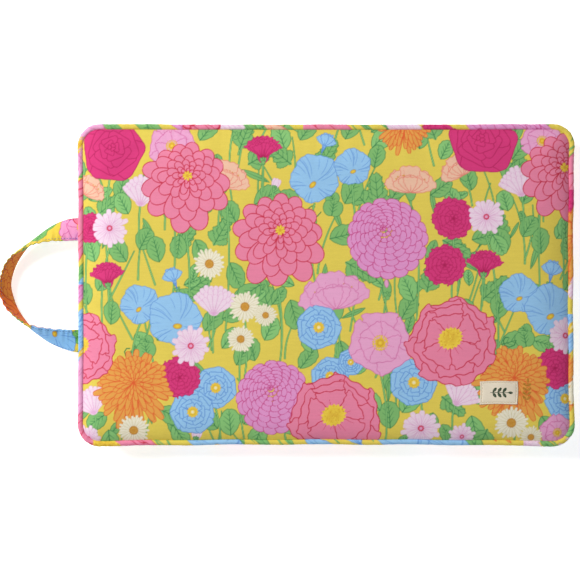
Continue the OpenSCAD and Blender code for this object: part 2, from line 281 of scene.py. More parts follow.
def dahlia(x, y, r, turn=0.0, body=None, line=None):
    """Long blunt petals round a middle that sits high, as when the head is seen from slightly below."""
    body = PINK if body is None else body
    line = DEEP if line is None else line
    ox, oy = 0.05 * r, 0.24 * r
    for k, (f, n, wf) in enumerate(((1.0, 12, 0.245), (0.83, 12, 0.205), (0.64, 11, 0.165), (0.47, 11, 0.125), (0.34, 9, 0.09), (0.23, 8, 0.065), (0.14, 6, 0.045))):
        for j in range(n):
            t = turn + 2 * math.pi * (j + 0.5 * (k % 2)) / n + RNG.uniform(-0.07, 0.07)
            L = reach(ox, oy, r, t) * f * RNG.uniform(0.93, 1.03)
            sq = 0.72 + 0.28 * (0.5 - 0.5 * math.sin(t))
            petal(x + ox, y + oy, t, L, r * wf * sq, body, line, 0.62, a=1.05, b=0.46, veins=(0 if k > 3 else 2), ph=RNG.uniform(0, 6), vl=0.55, la=0.92)
    for j in range(9):
        t = 2 * math.pi * j / 9 + RNG.uniform(-0.2, 0.2)
        petal(x + ox, y + oy, t, r * 0.11, r * 0.025, YEL, GOLDD, 0.3, a=0.6, b=0.4)
    disc(x + ox, y + oy, r * 0.03, ORA, GOLDD)


def pompom(x, y, r, turn=0.0, body=None, line=None):
    """Rows of scale-like petals that grow from a tight middle set to one side."""
    body = MAUVE if body is None else body
    line = MAUVED if line is None else line
    ox, oy = -0.10 * r, 0.24 * r
    rings = 9
    for k in range(rings):
        f = (1 - k / rings) ** 1.12
        cx, cy = x + ox * (1 - f), y + oy * (1 - f)
        q = r * f
        n = max(6, int(round(17 * (0.42 + 0.58 * f))))
        for j in range(n):
            t = turn + 2 * math.pi * (j + 0.5 * (k % 2)) / n + RNG.uniform(-0.05, 0.05)
            far = reach(0, 0, q, t) * (0.93 + 0.07 * (1 - math.sin(t)) * 0.5)
            L = max(r * 0.10, far * 0.42)
            wd = min(math.pi * far / n * 1.08, L * 0.75)
            petal(cx + (far - L) * math.cos(t), cy + (far - L) * math.sin(t), t, L * RNG.uniform(0.97, 1.05), wd, body, line, 0.48, a=0.5, b=0.36, la=0.9)


def mum(x, y, r, turn=0.0, body=None, line=None):
    """Narrow strap petals, long below and short above."""
    body = ORA if body is None else body
    line = ORAD if line is None else line
    ox, oy = 0.02 * r, 0.20 * r
    for k, (f, n, wf) in enumerate(((1.0, 25, 0.085), (0.90, 25, 0.08), (0.76, 22, 0.075), (0.60, 20, 0.068), (0.45, 16, 0.058), (0.31, 12, 0.05), (0.18, 8, 0.036))):
        for j in range(n):
            t = turn + 2 * math.pi * (j + 0.5 * (k % 2)) / n + RNG.uniform(-0.08, 0.08)
            L = reach(ox, oy, r, t) * f * RNG.uniform(0.84, 1.05)
            petal(x + ox, y + oy, t, L, r * wf, body, line, 0.50, a=0.85, b=0.30, bend=RNG.uniform(-1.6, 1.6), la=0.95, veins=1 if k < 2 else 0, vl=0.5)


def peony(x, y, r, turn=0.0, body=None, line=None):
    """Broad ruffled petals round a stippled yellow middle."""
    body = PINK if body is None else body
    line = DEEP if line is None else line
    ox, oy = -0.04 * r, 0.10 * r
    for k, (f, n, wf) in enumerate(((1.0, 7, 0.50), (0.84, 6, 0.44), (0.64, 5, 0.36))):
        for j in range(n):
            t = turn + 2 * math.pi * (j + 0.5 * (k % 2) + 0.13 * k) / n + RNG.uniform(-0.08, 0.08)
            L = reach(ox, oy, r, t) * f * RNG.uniform(0.96, 1.02)
            petal(x + ox, y + oy, t, L, r * wf, body, line, 0.62, a=0.95, b=0.20, veins=4, frill=0.075, ph=RNG.uniform(0, 6), la=0.92, vl=0.66)
    e = r * 0.30
    disc(x + ox, y + oy, e, srgb(224, 184, 62), YEL, None, lumps=17, lump=0.07, flat=0.84, tilt=0.5)
    for j in range(95):
        t, q = RNG.uniform(0, 6.283), e * 0.92 * math.sqrt(RNG.uniform(0, 1))
        dx, dy = q * math.cos(t), q * math.sin(t) * 0.84
        c, s = math.cos(0.5), math.sin(0.5)
        disc(x + ox + dx * c - dy * s, y + oy + dx * s + dy * c, RNG.uniform(0.42, 0.72), YEL if j % 3 else GOLDD, YEL if j % 2 else GOLDD)


def poppy(x, y, r, turn=0.0, body=None, line=None, n=5):
    body = LPINK if body is None else body
    line = LROSE if line is None else line
    for k, f in enumerate((1.0, 0.68)):
        for j in range(n):
            t = turn + 2 * math.pi * (j + 0.5 * k) / n + RNG.uniform(-0.08, 0.08)
            petal(x, y, t, r * f * RNG.uniform(0.95, 1.02), r * 0.60 * f, body, line, 0.48, a=0.8, b=0.16, veins=3 if k == 0 else 1, frill=0.06, ph=RNG.uniform(0, 6), la=0.85, vl=0.9)
    disc(x, y, r * 0.27, GOLDD, YEL, OCHRE, 0.35, lumps=19, lump=0.05)
    dots(x, y, r * 0.20, 16, r * 0.03, LPINK, 0.2)
    disc(x, y, r * 0.12, YEL, GOLDD, OCHRE, 0.3, lumps=9)


def cup(x, y, r, ang, body=None, line=None, eye=True):
    """A poppy seen from the side, opening along ang: a wide rim with stamens above folded petals."""
    body = PEACH if body is None else body
    line = PEACHD if line is None else line
    ca, sa = math.cos(ang), math.sin(ang)
    bx, by = x - ca * r * 0.55, y - sa * r * 0.55
    stem((bx, by), (bx - ca * r * 0.6, by - sa * r * 0.6), (bx - ca * r * 0.8, by - sa * r * 1.2 - r * 0.5))
    petal(bx - ca * r * 0.34, by - sa * r * 0.34, ang, r * 0.9, r * 0.26, G1, G4, 0.4, a=0.5, b=0.3)
    for s, f in ((-0.95, 1.12), (0.95, 1.12), (-0.5, 1.06), (0.5, 1.06), (0.0, 1.12)):
        petal(bx, by, ang + s, r * f, r * 0.42, body, line, 0.42, a=0.8, b=0.2, veins=2, frill=0.07, ph=RNG.uniform(0, 6), la=0.8, vl=0.9)
    if eye:
        for k in range(22):
            q = r * RNG.uniform(-0.62, 0.62)
            h = r * RNG.uniform(0.50, 0.74) - abs(q) * 0.12
            disc(bx + ca * h - sa * q, by + sa * h + ca * q, 0.62, GOLDD, GOLDD, OCHRE, 0.2)
    for s, f in ((-0.82, 0.80), (0.82, 0.80), (-0.4, 0.72), (0.4, 0.72), (0.0, 0.66)):
        petal(bx, by, ang + s, r * f, r * 0.30, body, line, 0.42, a=0.8, b=0.2, veins=1, frill=0.07, ph=RNG.uniform(0, 6), la=0.8, vl=0.9)


def carnation(x, y, r, turn=0.0, body=None, line=None):
    body = MAG if body is None else body
    line = MAGD if line is None else line
    for k, f in enumerate((1.0, 0.82, 0.62, 0.42, 0.24)):
        n = max(5, int(9 * (0.5 + 0.5 * f)))
        for j in range(n):
            t = turn + 2 * math.pi * (j + 0.37 * k) / n + RNG.uniform(-0.1, 0.1)
            petal(x, y, t, r * f * RNG.uniform(0.94, 1.04), r * f * 0.44, body, line, 0.42, a=0.9, b=0.16, veins=1, frill=0.12, ph=RNG.uniform(0, 6), la=0.62, vl=0.8)


def rose(x, y, r, turn=0.0, body=None, line=None):
    """A full head of wrapped round petals."""
    body = MAG if body is None else body
    line = MAGD if line is None else line
    for k, (f, n) in enumerate(((1.0, 5), (0.80, 5), (0.60, 4), (0.42, 4), (0.26, 3), (0.14, 3))):
        cx, cy = x - 0.06 * r * (1 - f), y + 0.14 * r * (1 - f)
        for j in range(n):
            t = turn + 0.9 * k + 2 * math.pi * j / n + RNG.uniform(-0.12, 0.12)
            petal(cx, cy, t, r * f * RNG.uniform(0.96, 1.03), r * f * 0.70, body, line, 0.5, a=0.62, b=0.22, la=0.7, ph=k, frill=0.02)


def side_carnation(x, y, r, ang, body=None, line=None):
    """A carnation from the side: a frilled fan on a narrow throat."""
    body = MAG if body is None else body
    line = MAGD if line is None else line
    ca, sa = math.cos(ang), math.sin(ang)
    bx, by = x - ca * r * 0.75, y - sa * r * 0.75
    stem((bx, by), (bx - ca * r * 0.5, by - sa * r * 0.8), (bx - ca * r * 0.3, by - sa * r * 1.7))
    petal(bx - ca * r * 0.10, by - sa * r * 0.10, ang, r * 1.5, r * 0.42, body, line, 0.42, a=0.35, b=0.2, la=0.6)
    for f, n, sp in ((1.55, 6, 0.62), (1.36, 5, 0.5), (1.16, 4, 0.38)):
        for j in range(n):
            t = ang + sp * (2 * j / (n - 1) - 1)
            petal(bx, by, t, r * f * (1 - 0.10 * abs(2 * j / (n - 1) - 1)), r * 0.27 * f, body, line, 0.42, a=2.0, b=0.16, veins=1, frill=0.10, ph=RNG.uniform(0, 6), la=0.6, vl=0.9)
    sepals(bx - ca * r * 0.06, by - sa * r * 0.06, ang, r * 0.34)


def fan(x, y, r, ang, body=None, line=None):
    """A pale open daisy seen from the side."""
    body = PALE if body is None else body
    line = PALED if line is None else line
    ca, sa = math.cos(ang), math.sin(ang)
    bx, by = x - ca * r * 0.7, y - sa * r * 0.7
    stem((bx, by), (bx - ca * r * 0.5, by - sa * r * 0.8), (bx - ca * r * 0.2, by - sa * r * 1.8))
    petal(bx, by, ang, r * 1.0, r * 0.36, body, line, 0.32, a=0.4, b=0.3, la=0.6)
    for f, n in ((1.5, 11), (1.3, 9), (1.1, 7)):
        for j in range(n):
            q = 2 * j / (n - 1) - 1
            t = ang + 0.85 * q
            petal(bx, by, t, r * f * RNG.uniform(0.92, 1.05) * (1 - 0.08 * q * q), r * 0.13, body, line, 0.32, a=1.4, b=0.25, la=0.7)


def glory(x, y, r, turn=0.0, body=None, line=None):
    """A trumpet flower from the front: one ruffled sheet with creases running to a small throat."""
    body = BLUE if body is None else body
    line = BLUED if line is None else line
    win = window(x - r - 1, x + r + 1, y - r - 1, y + r + 1)
    if win is None:
        return
    ox, oy = 0.10 * r * math.cos(turn * 3), -0.26 * r
    where, X, Y = win
    q = np.hypot(X - x, Y - y)
    th = np.arctan2(Y - y, X - x) - turn
    R = r * (0.93 + 0.045 * np.cos(5 * th) + 0.016 * np.cos(12 * th) + 0.01 * np.cos(23 * th))
    d = R - q
    q2 = np.hypot(X - x - ox, Y - y - oy)
    t2 = np.arctan2(Y - y - oy, X - x - ox) - turn
    col = np.broadcast_to(body, d.shape + (3,))
    out = step01((q2 / r - 0.16) * 5)
    for m, ph, w, lo, hi in ((5, 0.0, 0.34, 0.10, 1.5), (5, 0.62, 0.24, 0.30, 1.2), (5, -0.55, 0.24, 0.45, 1.3), (10, 0.35, 0.2, 0.55, 0.95)):
        f = np.abs(np.sin(0.5 * m * (t2 + 0.12 * np.sin(q2 / r * 3)) + ph)) * q2 / (0.5 * m)
        band = step01((q2 / r - lo) * 6) * (1 - step01((q2 / r - hi) * 6))
        col = mix(col, line, cover(w - f) * band * out * 0.72)
    col = mix(col, line, cover(0.5 - d) * 0.9)
    put(where, cover(d), col)
    disc(x + ox, y + oy, r * 0.17, YEL, GOLDD, line, 0.3, flat=0.62, tilt=turn)


def glory_side(x, y, r, ang, body=None, line=None):
    body = BLUE if body is None else body
    line = BLUED if line is None else line
    ca, sa = math.cos(ang), math.sin(ang)
    bx, by = x - ca * r * 0.95, y - sa * r * 0.95
    sepals(bx, by, ang, r * 0.42)
    petal(bx, by, ang, r * 1.9, r * 0.42, body, line, 0.42, a=1.5, b=0.12, veins=3, frill=0.06, la=0.85, vl=0.95)
    for s in (-0.75, 0.75, -0.3, 0.3):
        petal(x - ca * r * 0.1, y - sa * r * 0.1, ang + s, r * 0.95, r * 0.32, body, line, 0.42, a=0.7, b=0.2, frill=0.08, la=0.85, veins=1, ph=s * 4)


def ranunculus(x, y, r, turn=0.0, body=None, line=None):
    body = BLUE if body is None else body
    line = BLUED if line is None else line
    for k, (f, n) in enumerate(((1.0, 7), (0.80, 6), (0.60, 6), (0.44, 5))):
        for j in range(n):
            t = turn + 2 * math.pi * (j + 0.5 * (k % 2)) / n + RNG.uniform(-0.09, 0.09)
            petal(x, y, t, r * f * RNG.uniform(0.95, 1.04), r * f * 0.47, body, line, 0.44, a=0.85, b=0.18, veins=2 if k < 2 else 0, la=0.85, ph=RNG.uniform(0, 6), vl=0.8, frill=0.03)
    disc(x, y, r * 0.27, GOLDD, YEL, OCHRE, 0.3, lumps=11)
    disc(x, y, r * 0.13, CREAM, YEL, GOLDD, 0.3, lumps=7)


def bud(x, y, r, ang, body=None, line=None):
    body = PALE if body is None else body
    line = PALED if line is None else line
    ca, sa = math.cos(ang), math.sin(ang)
    stem((x, y), (x - ca * r, y - sa * r), (x - ca * r * 1.2, y - sa * r * 2.2))
    for s in (-0.28, 0.28, 0.0):
        petal(x - ca * r * 0.4, y - sa * r * 0.4, ang + s, r * 1.5, r * 0.36, body, line, 0.35, a=0.6, b=0.5, la=0.7)
    sepals(x - ca * r * 0.4, y - sa * r * 0.4, ang, r * 0.6)


LAYOUT = [
    ('leaf', -104, 37, 24, 60, 9), ('leaf', -83, 58, 22, 120, 9), ('leaf', 49, 68, 28, 95, 9), ('leaf', 61, 79, 22, 60, 8), ('leaf', 37, 74, 22, 130, 8),
    ('leaf', -184, 21, 24, 130, 9), ('leaf', -172, 32, 22, 60, 9), ('leaf', -154, 21, 24, 110, 9), ('leaf', -139, 32, 22, 50, 8),
    ('leaf', 166, 31, 24, 120, 9), ('leaf', 180, 44, 22, 60, 9), ('leaf', 198, 28, 24, 100, 9), ('leaf', 213, 42, 20, 60, 8),
    ('leaf', 69, -31, 26, 60, 9), ('leaf', 80, -14, 26, 120, 9), ('leaf', 92, -6, 24, 80, 8), ('leaf', 102, 5, 20, 40, 8),
    ('leaf', -88, -140, 26, 100, 10), ('leaf', -76, -129, 22, 50, 9), ('leaf', -100, -133, 20, 140, 8), ('leaf', 59, -133, 26, 100, 10),
    ('leaf', 70, -118, 22, 60, 9), ('leaf', 50, -116, 22, 130, 8), ('leaf', 121, 74, 19, 120, 7), ('leaf', 166, 68, 20, 100, 8),
    ('leaf', -220, -19, 22, 110, 8), ('leaf', -211, -6, 20, 60, 8), ('leaf', -199, -37, 22, 80, 8), ('leaf', -204, -51, 20, 130, 8),
    ('leaf', -66, 74, 28, 30, 10), ('leaf', -24, 74, 22, 150, 9), ('leaf', 18, 74, 28, 60, 10), ('leaf', -89, 21, 26, -60, 9),
    ('leaf', -74, 0, 24, -100, 9), ('leaf', 4, 42, 28, 20, 10), ('leaf', 18, 21, 26, -30, 10), ('leaf', -33, -14, 28, -70, 10),
    ('leaf', -24, -32, 24, -20, 9), ('leaf', 13, -51, 24, -80, 8), ('leaf', 28, -95, 28, -60, 10), ('leaf', -24, -77, 24, 60, 8),
    ('leaf', -13, -62, 22, 110, 8), ('leaf', -112, -42, 26, 60, 9), ('leaf', -96, -31, 22, 20, 8), ('leaf', -156, -51, 24, 60, 9),
    ('leaf', -163, -62, 22, 130, 8), ('leaf', -154, -114, 26, -30, 9), ('leaf', -141, -129, 24, -60, 8), ('leaf', -200, -133, 24, -80, 9),
    ('leaf', -202, -118, 22, -140, 8), ('leaf', 143, -14, 26, 40, 9), ('leaf', 158, -31, 24, 80, 9), ('leaf', 135, -32, 22, 120, 8),
    ('leaf', 161, -55, 26, 20, 9), ('leaf', 189, -51, 22, -20, 8), ('leaf', 143, -70, 24, -20, 9), ('leaf', 133, -88, 26, -60, 9),
    ('leaf', 206, -51, 22, 40, 8), ('leaf', 133, -121, 26, -80, 9), ('leaf', 148, -134, 24, -110, 9), ('leaf', 198, -121, 24, -60, 9),
    ('leaf', 212, -158, 24, 90, 9), ('leaf', 106, -103, 22, -40, 8), ('leaf', 98, -118, 22, -100, 8), ('leaf', 180, 74, 22, 70, 8),
    ('leaf', 161, 97, 24, 40, 9), ('leaf', 133, 88, 22, 100, 8), ('leaf', 96, 83, 24, 30, 8), ('leaf', 106, 42, 24, -30, 8),
    ('leaf', 133, 42, 22, 20, 8), ('leaf', 152, 46, 22, -60, 8), ('leaf', 222, 42, 22, 100, 8), ('leaf', 231, 21, 24, 120, 9),
    ('leaf', 222, -5, 22, 60, 8), ('leaf', -117, 133, 24, 60, 8), ('leaf', -106, 144, 22, 110, 8), ('leaf', -80, 125, 24, 70, 9),
    ('leaf', -72, 111, 22, 30, 8), ('leaf', -38, 125, 26, 100, 9), ('leaf', -32, 111, 24, 140, 9), ('leaf', -24, 134, 22, 60, 8),
    ('leaf', 18, 134, 24, 70, 9), ('leaf', 43, 125, 24, 40, 9), ('leaf', 45, 107, 22, 80, 8), ('leaf', 87, 125, 22, 80, 8),
    ('leaf', 102, 134, 24, 110, 9), ('leaf', 106, 116, 20, 60, 7), ('leaf', 171, 116, 24, 50, 8), ('leaf', 176, 134, 22, 100, 8),
    ('leaf', -219, 79, 22, 70, 8), ('leaf', -210, 65, 22, 40, 8), ('leaf', -191, 79, 22, 80, 8), ('leaf', -182, 65, 22, 120, 8),
    ('leaf', -223, 28, 22, 60, 8), ('leaf', -213, 21, 22, 110, 8), ('leaf', -117, 65, 20, 60, 8), ('leaf', -121, 42, 22, -60, 8),
    ('leaf', -135, 46, 22, -100, 8), ('leaf', -61, 0, 24, -140, 9), ('leaf', -57, -51, 24, 60, 9), ('leaf', -66, -70, 22, 110, 8),
    ('leaf', -83, -74, 22, 60, 8), ('leaf', -59, -130, 24, -110, 9), ('leaf', -24, -134, 26, -60, 9), ('leaf', -15, -107, 24, -100, 8),
    ('leaf', 41, -144, 26, -100, 9), ('leaf', 32, -116, 22, -60, 8), ('leaf', 76, -144, 24, -80, 8), ('leaf', 110, -144, 24, -90, 8),
    ('leaf', 161, -153, 24, -90, 8), ('leaf', -163, -144, 24, -90, 8), ('leaf', -112, -144, 24, -80, 8), ('leaf', -228, -125, 24, 80, 8),
    ('leaf', -226, -88, 22, 60, 8), ('heart', -165, -67, 12, 100), ('heart', 6, 63, 12, 80), ('heart', 184, -57, 12, 100),
    ('stem', (-200, 97), (-206, 51), (-198, -14)), ('stem', (-143, 107), (-135, 42), (-145, -42)), ('stem', (-130, 51), (-121, -5), (-135, -70)),
    ('stem', (-92, 81), (-87, 23), (-93, -42)), ('stem', (-58, 110), (-59, 70), (-70, 23)), ('stem', (-44, -5), (-37, -51), (-46, -88)),
    ('stem', (-10, 74), (-19, 42), (-7, -14)), ('stem', (25, 90), (32, 23), (22, -42)), ('stem', (56, 5), (54, -23), (50, -42)),
    ('stem', (78, 74), (87, 32), (83, -32)), ('stem', (116, 44), (113, -5), (117, -32)), ('stem', (145, 5), (141, -42), (133, -107)),
    ('stem', (146, 45), (161, -5), (158, -70)), ('stem', (199, 116), (193, 51), (198, -14)), ('stem', (218, 58), (224, -5), (217, -60)),
    ('stem', (50, -79), (59, -116), (54, -153)), ('stem', (87, -107), (91, -134), (87, -158)), ('stem', (172, -129), (176, -144), (172, -158)),
    ('stem', (-178, -134), (-172, -148), (-174, -158)), ('stem', (-102, -114), (-96, -134), (-98, -158)), ('stem', (-75, -34), (-70, -70), (-80, -107)),
    ('stem', (-79, -62), (-83, -107), (-74, -153)), ('stem', (-108, 5), (-111, -23), (-106, -60)), ('stem', (-199, 34), (-211, -5), (-206, -51)),
    ('stem', (6, -32), (13, -60), (4, -79)), ('stem', (222, -65), (226, -97), (222, -144)), ('stem', (-220, 37), (-224, 5), (-221, -42)),
    ('stem', (-172, -36), (-182, -60), (-178, -79)), ('stem', (207, -48), (198, -79), (204, -107)), ('stem', (-84, 153), (-93, 116), (-87, 79)),
    ('tip', -84, 136, 7, 80), ('tip', 56, -11, 7, 95), ('tip', -24, -46, 7, 70), ('fan', -169, 85, 19, 80), ('fan', 177, 94, 19, 100),
    ('fan', -103, -15, 19, 85), ('fan', 124, -101, 17, 60), ('fan', -217, -108, 17, 110), ('bud', -148, 66, 7, 85), ('bud', 199, 73, 7, 95),
    ('bud', -120, -141, 8, 80), ('bud', -47, 91, 7, 70), ('bud', 102, -29, 7, 110), ('cup', -92, 102, 22, 75, 0), ('cup', 78, 97, 22, 90, 0),
    ('cup', 121, 110, 18, 120, 0), ('cup', -219, 92, 17, 60, 0), ('cup', 6, -5, 31, 100, 1), ('sidecarn', -58, 126, 16, 90),
    ('sidecarn', -202, 9, 15, 95), ('sidecarn', 145, 20, 16, 85), ('gloryside', -1, 129, 12, 70), ('gloryside', -141, 5, 12, 110),
    ('gloryside', 208, 10, 13, 80), ('glory', -10, 98, 24, 45), ('glory', 25, 108, 18, 23), ('glory', -172, -18, 19, 44), ('glory', -140, -31, 26, 1),
    ('glory', 177, -8, 19, 19), ('glory', 207, -23, 25, 27), ('ranun', -102, -95, 19, 0), ('ranun', -123, -117, 20, 5), ('ranun', -7, -39, 20, 30),
    ('ranun', 4, -84, 17, 30), ('ranun', 23, -71, 12, 15), ('ranun', 81, -90, 21, 25), ('ranun', 221, -105, 19, 0), ('carn', 116, 62, 19, 3),
    ('carn', 108, 19, 19, 26), ('carn', -135, -85, 19, 40), ('carn', 211, -77, 19, 12), ('carn', -217, 53, 14, 26), ('carn', -197, 124, 27, 42),
    ('carn', 145, 133, 29, 46), ('poppy', -143, 128, 21, 26), ('poppy', 199, 133, 19, 13), ('poppy', 50, -53, 28, 20), ('poppy', 213, -136, 16, 58),
    ('pompom', 56, 44, 38, 18), ('pompom', -48, -103, 36, 12), ('dahlia', -130, 90, 42, 18), ('dahlia', -44, 40, 44, 27), ('dahlia', 218, 98, 41, 3),
    ('mum', -178, -97, 37, 12), ('mum', 172, -93, 37, 6), ('mum', 73, 147, 28, 15), ('peony', 116, -53, 40, 3), ('peony', 9, -125, 41, 8),
    ('peony', -228, -60, 33, 40), ('daisy', -108, 20, 15, 6), ('daisy', -75, -20, 15, 15), ('daisy', -79, -50, 13, 3), ('daisy', -177, -134, 15, 21),
    ('daisy', 170, -128, 16, 15), ('daisy', -56, -28, 11, 6), ('daisy', 189, -141, 11, 6), ('pdaisy', -199, 52, 18, 21), ('pdaisy', 146, 63, 18, 12),
    ('pdaisy', -125, -56, 19, 21), ('pdaisy', 87, -133, 19, 12), ('pdaisy', 222, -47, 18, 18), ('pdaisy', 125, -141, 13, 15),
    ('pdaisy', -219, -141, 13, 6),
]


def rad(a):
    return a * math.pi / 180.0


def heart(x, y, r, ang):
    """A pair of heart-shaped leaves with a curled tendril."""
    for cx, cy, q, t in ((x + r * 0.2, y + r * 0.9, r * 0.72, ang + 0.5), (x, y, r, ang)):
        for s in (-0.42, 0.42):
            petal(cx, cy, t + s, q * 1.25, q * 0.52, G1, G4, 0.45, a=0.45, b=0.5, la=0.8)
        petal(cx, cy, t, q * 1.2, q * 0.5, G1, None, a=0.5, b=0.6)
        stroke([(cx, cy), (cx + q * 1.1 * math.cos(t), cy + q * 1.1 * math.sin(t))], 0.42, 0.2, G4)
        for k in (0.25, 0.5, 0.72):
            for s in (-1, 1):
                bx, by = cx + q * 1.1 * k * math.cos(t), cy + q * 1.1 * k * math.sin(t)
                stroke([(bx, by), (bx + q * 0.42 * math.cos(t + s * 0.8), by + q * 0.42 * math.sin(t + s * 0.8))], 0.28, 0.14, G4, n=4)


def tendril(x, y, r, ang, hand=1):
    pts = [(x + r * (1 - 0.09 * k) * math.cos(ang + hand * 0.75 * k) * (k / 4.0 + 0.3), y + r * (1 - 0.09 * k) * math.sin(ang + hand * 0.75 * k) * (k / 4.0 + 0.3)) for k in range(8)]
    for k in range(0, 6):
        stroke([pts[k], pts[k + 1]], 0.45, 0.42, G4, None, n=3)


def filler():
    """Stems and a few small leaves on whatever ground the layout leaves free."""
    for k in range(84):
        x, y = RNG.uniform(PX0, PX1), RNG.uniform(PY0, PY1)
        t = rad(RNG.uniform(62, 118))
        L = RNG.uniform(30, 64)
        q = RNG.uniform(-8, 8)
        stroke([(x, y), (x + L * 0.5 * math.cos(t) + q, y + L * 0.5 * math.sin(t)), (x + L * math.cos(t), y + L * math.sin(t))], 0.95, 0.6, G2, G4)
    for k in range(118):
        x, y = RNG.uniform(PX0, PX1), RNG.uniform(PY0, PY1)
        t = rad(RNG.uniform(20, 160))
        L = RNG.uniform(13, 24)
        if k % 3 == 0:
            petal(x, y, t, L * 1.25, L * 0.13, G1, G4, 0.4, a=0.9, b=0.8, bend=RNG.uniform(-3, 3), la=0.8, veins=1, vl=0.9)
        elif k % 7 == 1:
            lobed(x, y, t, L * 1.5)
        else:
            leaf(x, y, t, L, L * RNG.uniform(0.22, 0.32), G1 if k % 2 else G2, bend=RNG.uniform(-2.5, 2.5))


def draw_print():
    filler()
    red_eye, red_line = srgb(216, 76, 110), srgb(196, 60, 84)
    for row in LAYOUT:
        kind = row[0]
        if kind == "stem":
            stem(*row[1:])
            continue
        x, y, r, turn = row[1:5]
        t = rad(turn)
        if kind == "leaf":
            if int(x + 2 * y) % 5 == 0:
                lobed(x, y, t, r * 1.25)
            else:
                leaf(x, y, t, r, row[5], G1 if (x + y) % 3 else G2, bend=((x * 7 + y) % 7) - 3.0)
        elif kind == "heart":
            heart(x, y, r, t)
            tendril(x - 16, y + 6, 8, t, 1)
        elif kind == "tip":
            petal(x, y, t, r * 2.4, r * 0.62, G1, G4, 0.4, a=0.6, b=0.6)
            petal(x + r * 1.3 * math.cos(t), y + r * 1.3 * math.sin(t), t, r * 1.1, r * 0.3, LPINK, LROSE, 0.4, a=0.6, b=0.5)
            sepals(x, y, t, r * 0.9)
        elif kind == "fan":
            fan(x, y, r, t)
        elif kind == "bud":
            bud(x, y, r, t)
        elif kind == "cup":
            if row[5]:
                cup(x, y, r, t, LPINK, LROSE)
            else:
                cup(x, y, r, t)
        elif kind == "sidecarn":
            side_carnation(x, y, r, t)
        elif kind == "gloryside":
            glory_side(x, y, r, t)
        elif kind == "glory":
            glory(x, y, r, t)
        elif kind == "ranun":
            ranunculus(x, y, r, t)
        elif kind == "carn":
            if r > 24:
                rose(x, y, r, t)
            else:
                carnation(x, y, r, t)
        elif kind == "poppy":
            poppy(x, y, r, t)
        elif kind == "pompom":
            pompom(x, y, r, t)
        elif kind == "dahlia":
            dahlia(x, y, r, t)
        elif kind == "mum":
            mum(x, y, r, t)
        elif kind == "peony":
            peony(x, y, r, t)
        elif kind == "daisy":
            daisy(x, y, r, t)
        elif kind == "pdaisy":
            daisy(x, y, r, t, PALE, PALED, red_eye, red_line, n=10)


draw_print()


# ------------------------------------------------------------------ sizes from the frame
def mm_box(node):
    lo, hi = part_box(node)
    return np.array(lo) * 1000, np.array(hi) * 1000


_lo, _hi = mm_box("top_piping_cover")
HX, HY = float(_hi[0]), float(_hi[1])
PIPE = float(_hi[2] - _lo[2]) / 2
ZT = float(_hi[2] + _lo[2]) / 2
_lo, _hi = mm_box("base_piping_cover")
ZB = float(_hi[2] + _lo[2]) / 2
CROWN = float(mm_box("top_panel")[1][2])
_lo, _hi = mm_box("side_band")
BAND_E = HX - float(_hi[0])
CORNER = 21.0
_lo, _hi = mm_box("zip_placket_upper")
PLX, PLY, PLU0 = float(_hi[0]), float(_hi[1]), float(_lo[2])
PLL1 = float(mm_box("zip_placket_lower")[1][2])
MIDZ = (PLU0 + PLL1) / 2
NRNG = np.random.default_rng(77)


# ------------------------------------------------------------------ small tools
def waves(seed, n, lo, hi):
    """A smooth random function of x and y made of n waves, lengths lo to hi, about -1 to 1."""
    r = np.random.default_rng(seed)
    ang, lam, ph = r.uniform(0, math.pi, n), r.uniform(lo, hi, n), r.uniform(0, 6.28, n)

    def f(x, y):
        out = 0
        for a, l, p in zip(ang, lam, ph):
            out = out + np.sin((x * math.cos(a) + y * math.sin(a)) * 6.2832 / l + p)
        return out / math.sqrt(n)
    return f


def warp(x, y):
    """How a sewn cover departs from a true rectangle: its sides draw in between the corners and wander a little."""
    tx, ty = np.clip(x / HX, -1, 1), np.clip(y / HY, -1, 1)
    wx, wy = np.abs(tx) ** 5, np.abs(ty) ** 5
    bowx = np.cos(1.5708 * ty) - 0.28
    bowy = np.cos(1.5708 * tx) - 0.28
    ax = np.where(x > 0, 1.25, 0.45)
    ay = np.where(y > 0, 0.30, 1.45)
    dx = -np.sign(x) * wx * ax * bowx + wx * 0.28 * np.sin(y / 11.0 + 0.6) * np.where(x > 0, 1, 0.5)
    dy = -np.sign(y) * wy * ay * bowy + wy * 0.30 * np.sin(x / 13.0 + 1.9) * np.where(y > 0, 0.35, 1)
    corner = wx * wy
    dx = dx + np.sign(x) * corner * 0.7
    dy = dy + np.sign(y) * corner * 0.6 * np.where(y > 0, 0.6, 1)
    return x + dx, y + dy


def outline(e, step):
    """Points, outward directions, distance along (about step mm apart) of the rounded outline moved in by e, from the middle of the left side, counter-clockwise."""
    a, b, r = HX - e, HY - e, max(CORNER - e, 0.6)
    sx, sy, q = 2 * (a - r), 2 * (b - r), r * math.pi / 2
    total = 2 * sx + 2 * sy + 4 * q
    n = int(round(total / step))
    s = np.arange(n) * total / n
    return outline_at(e, s) + (s, total)


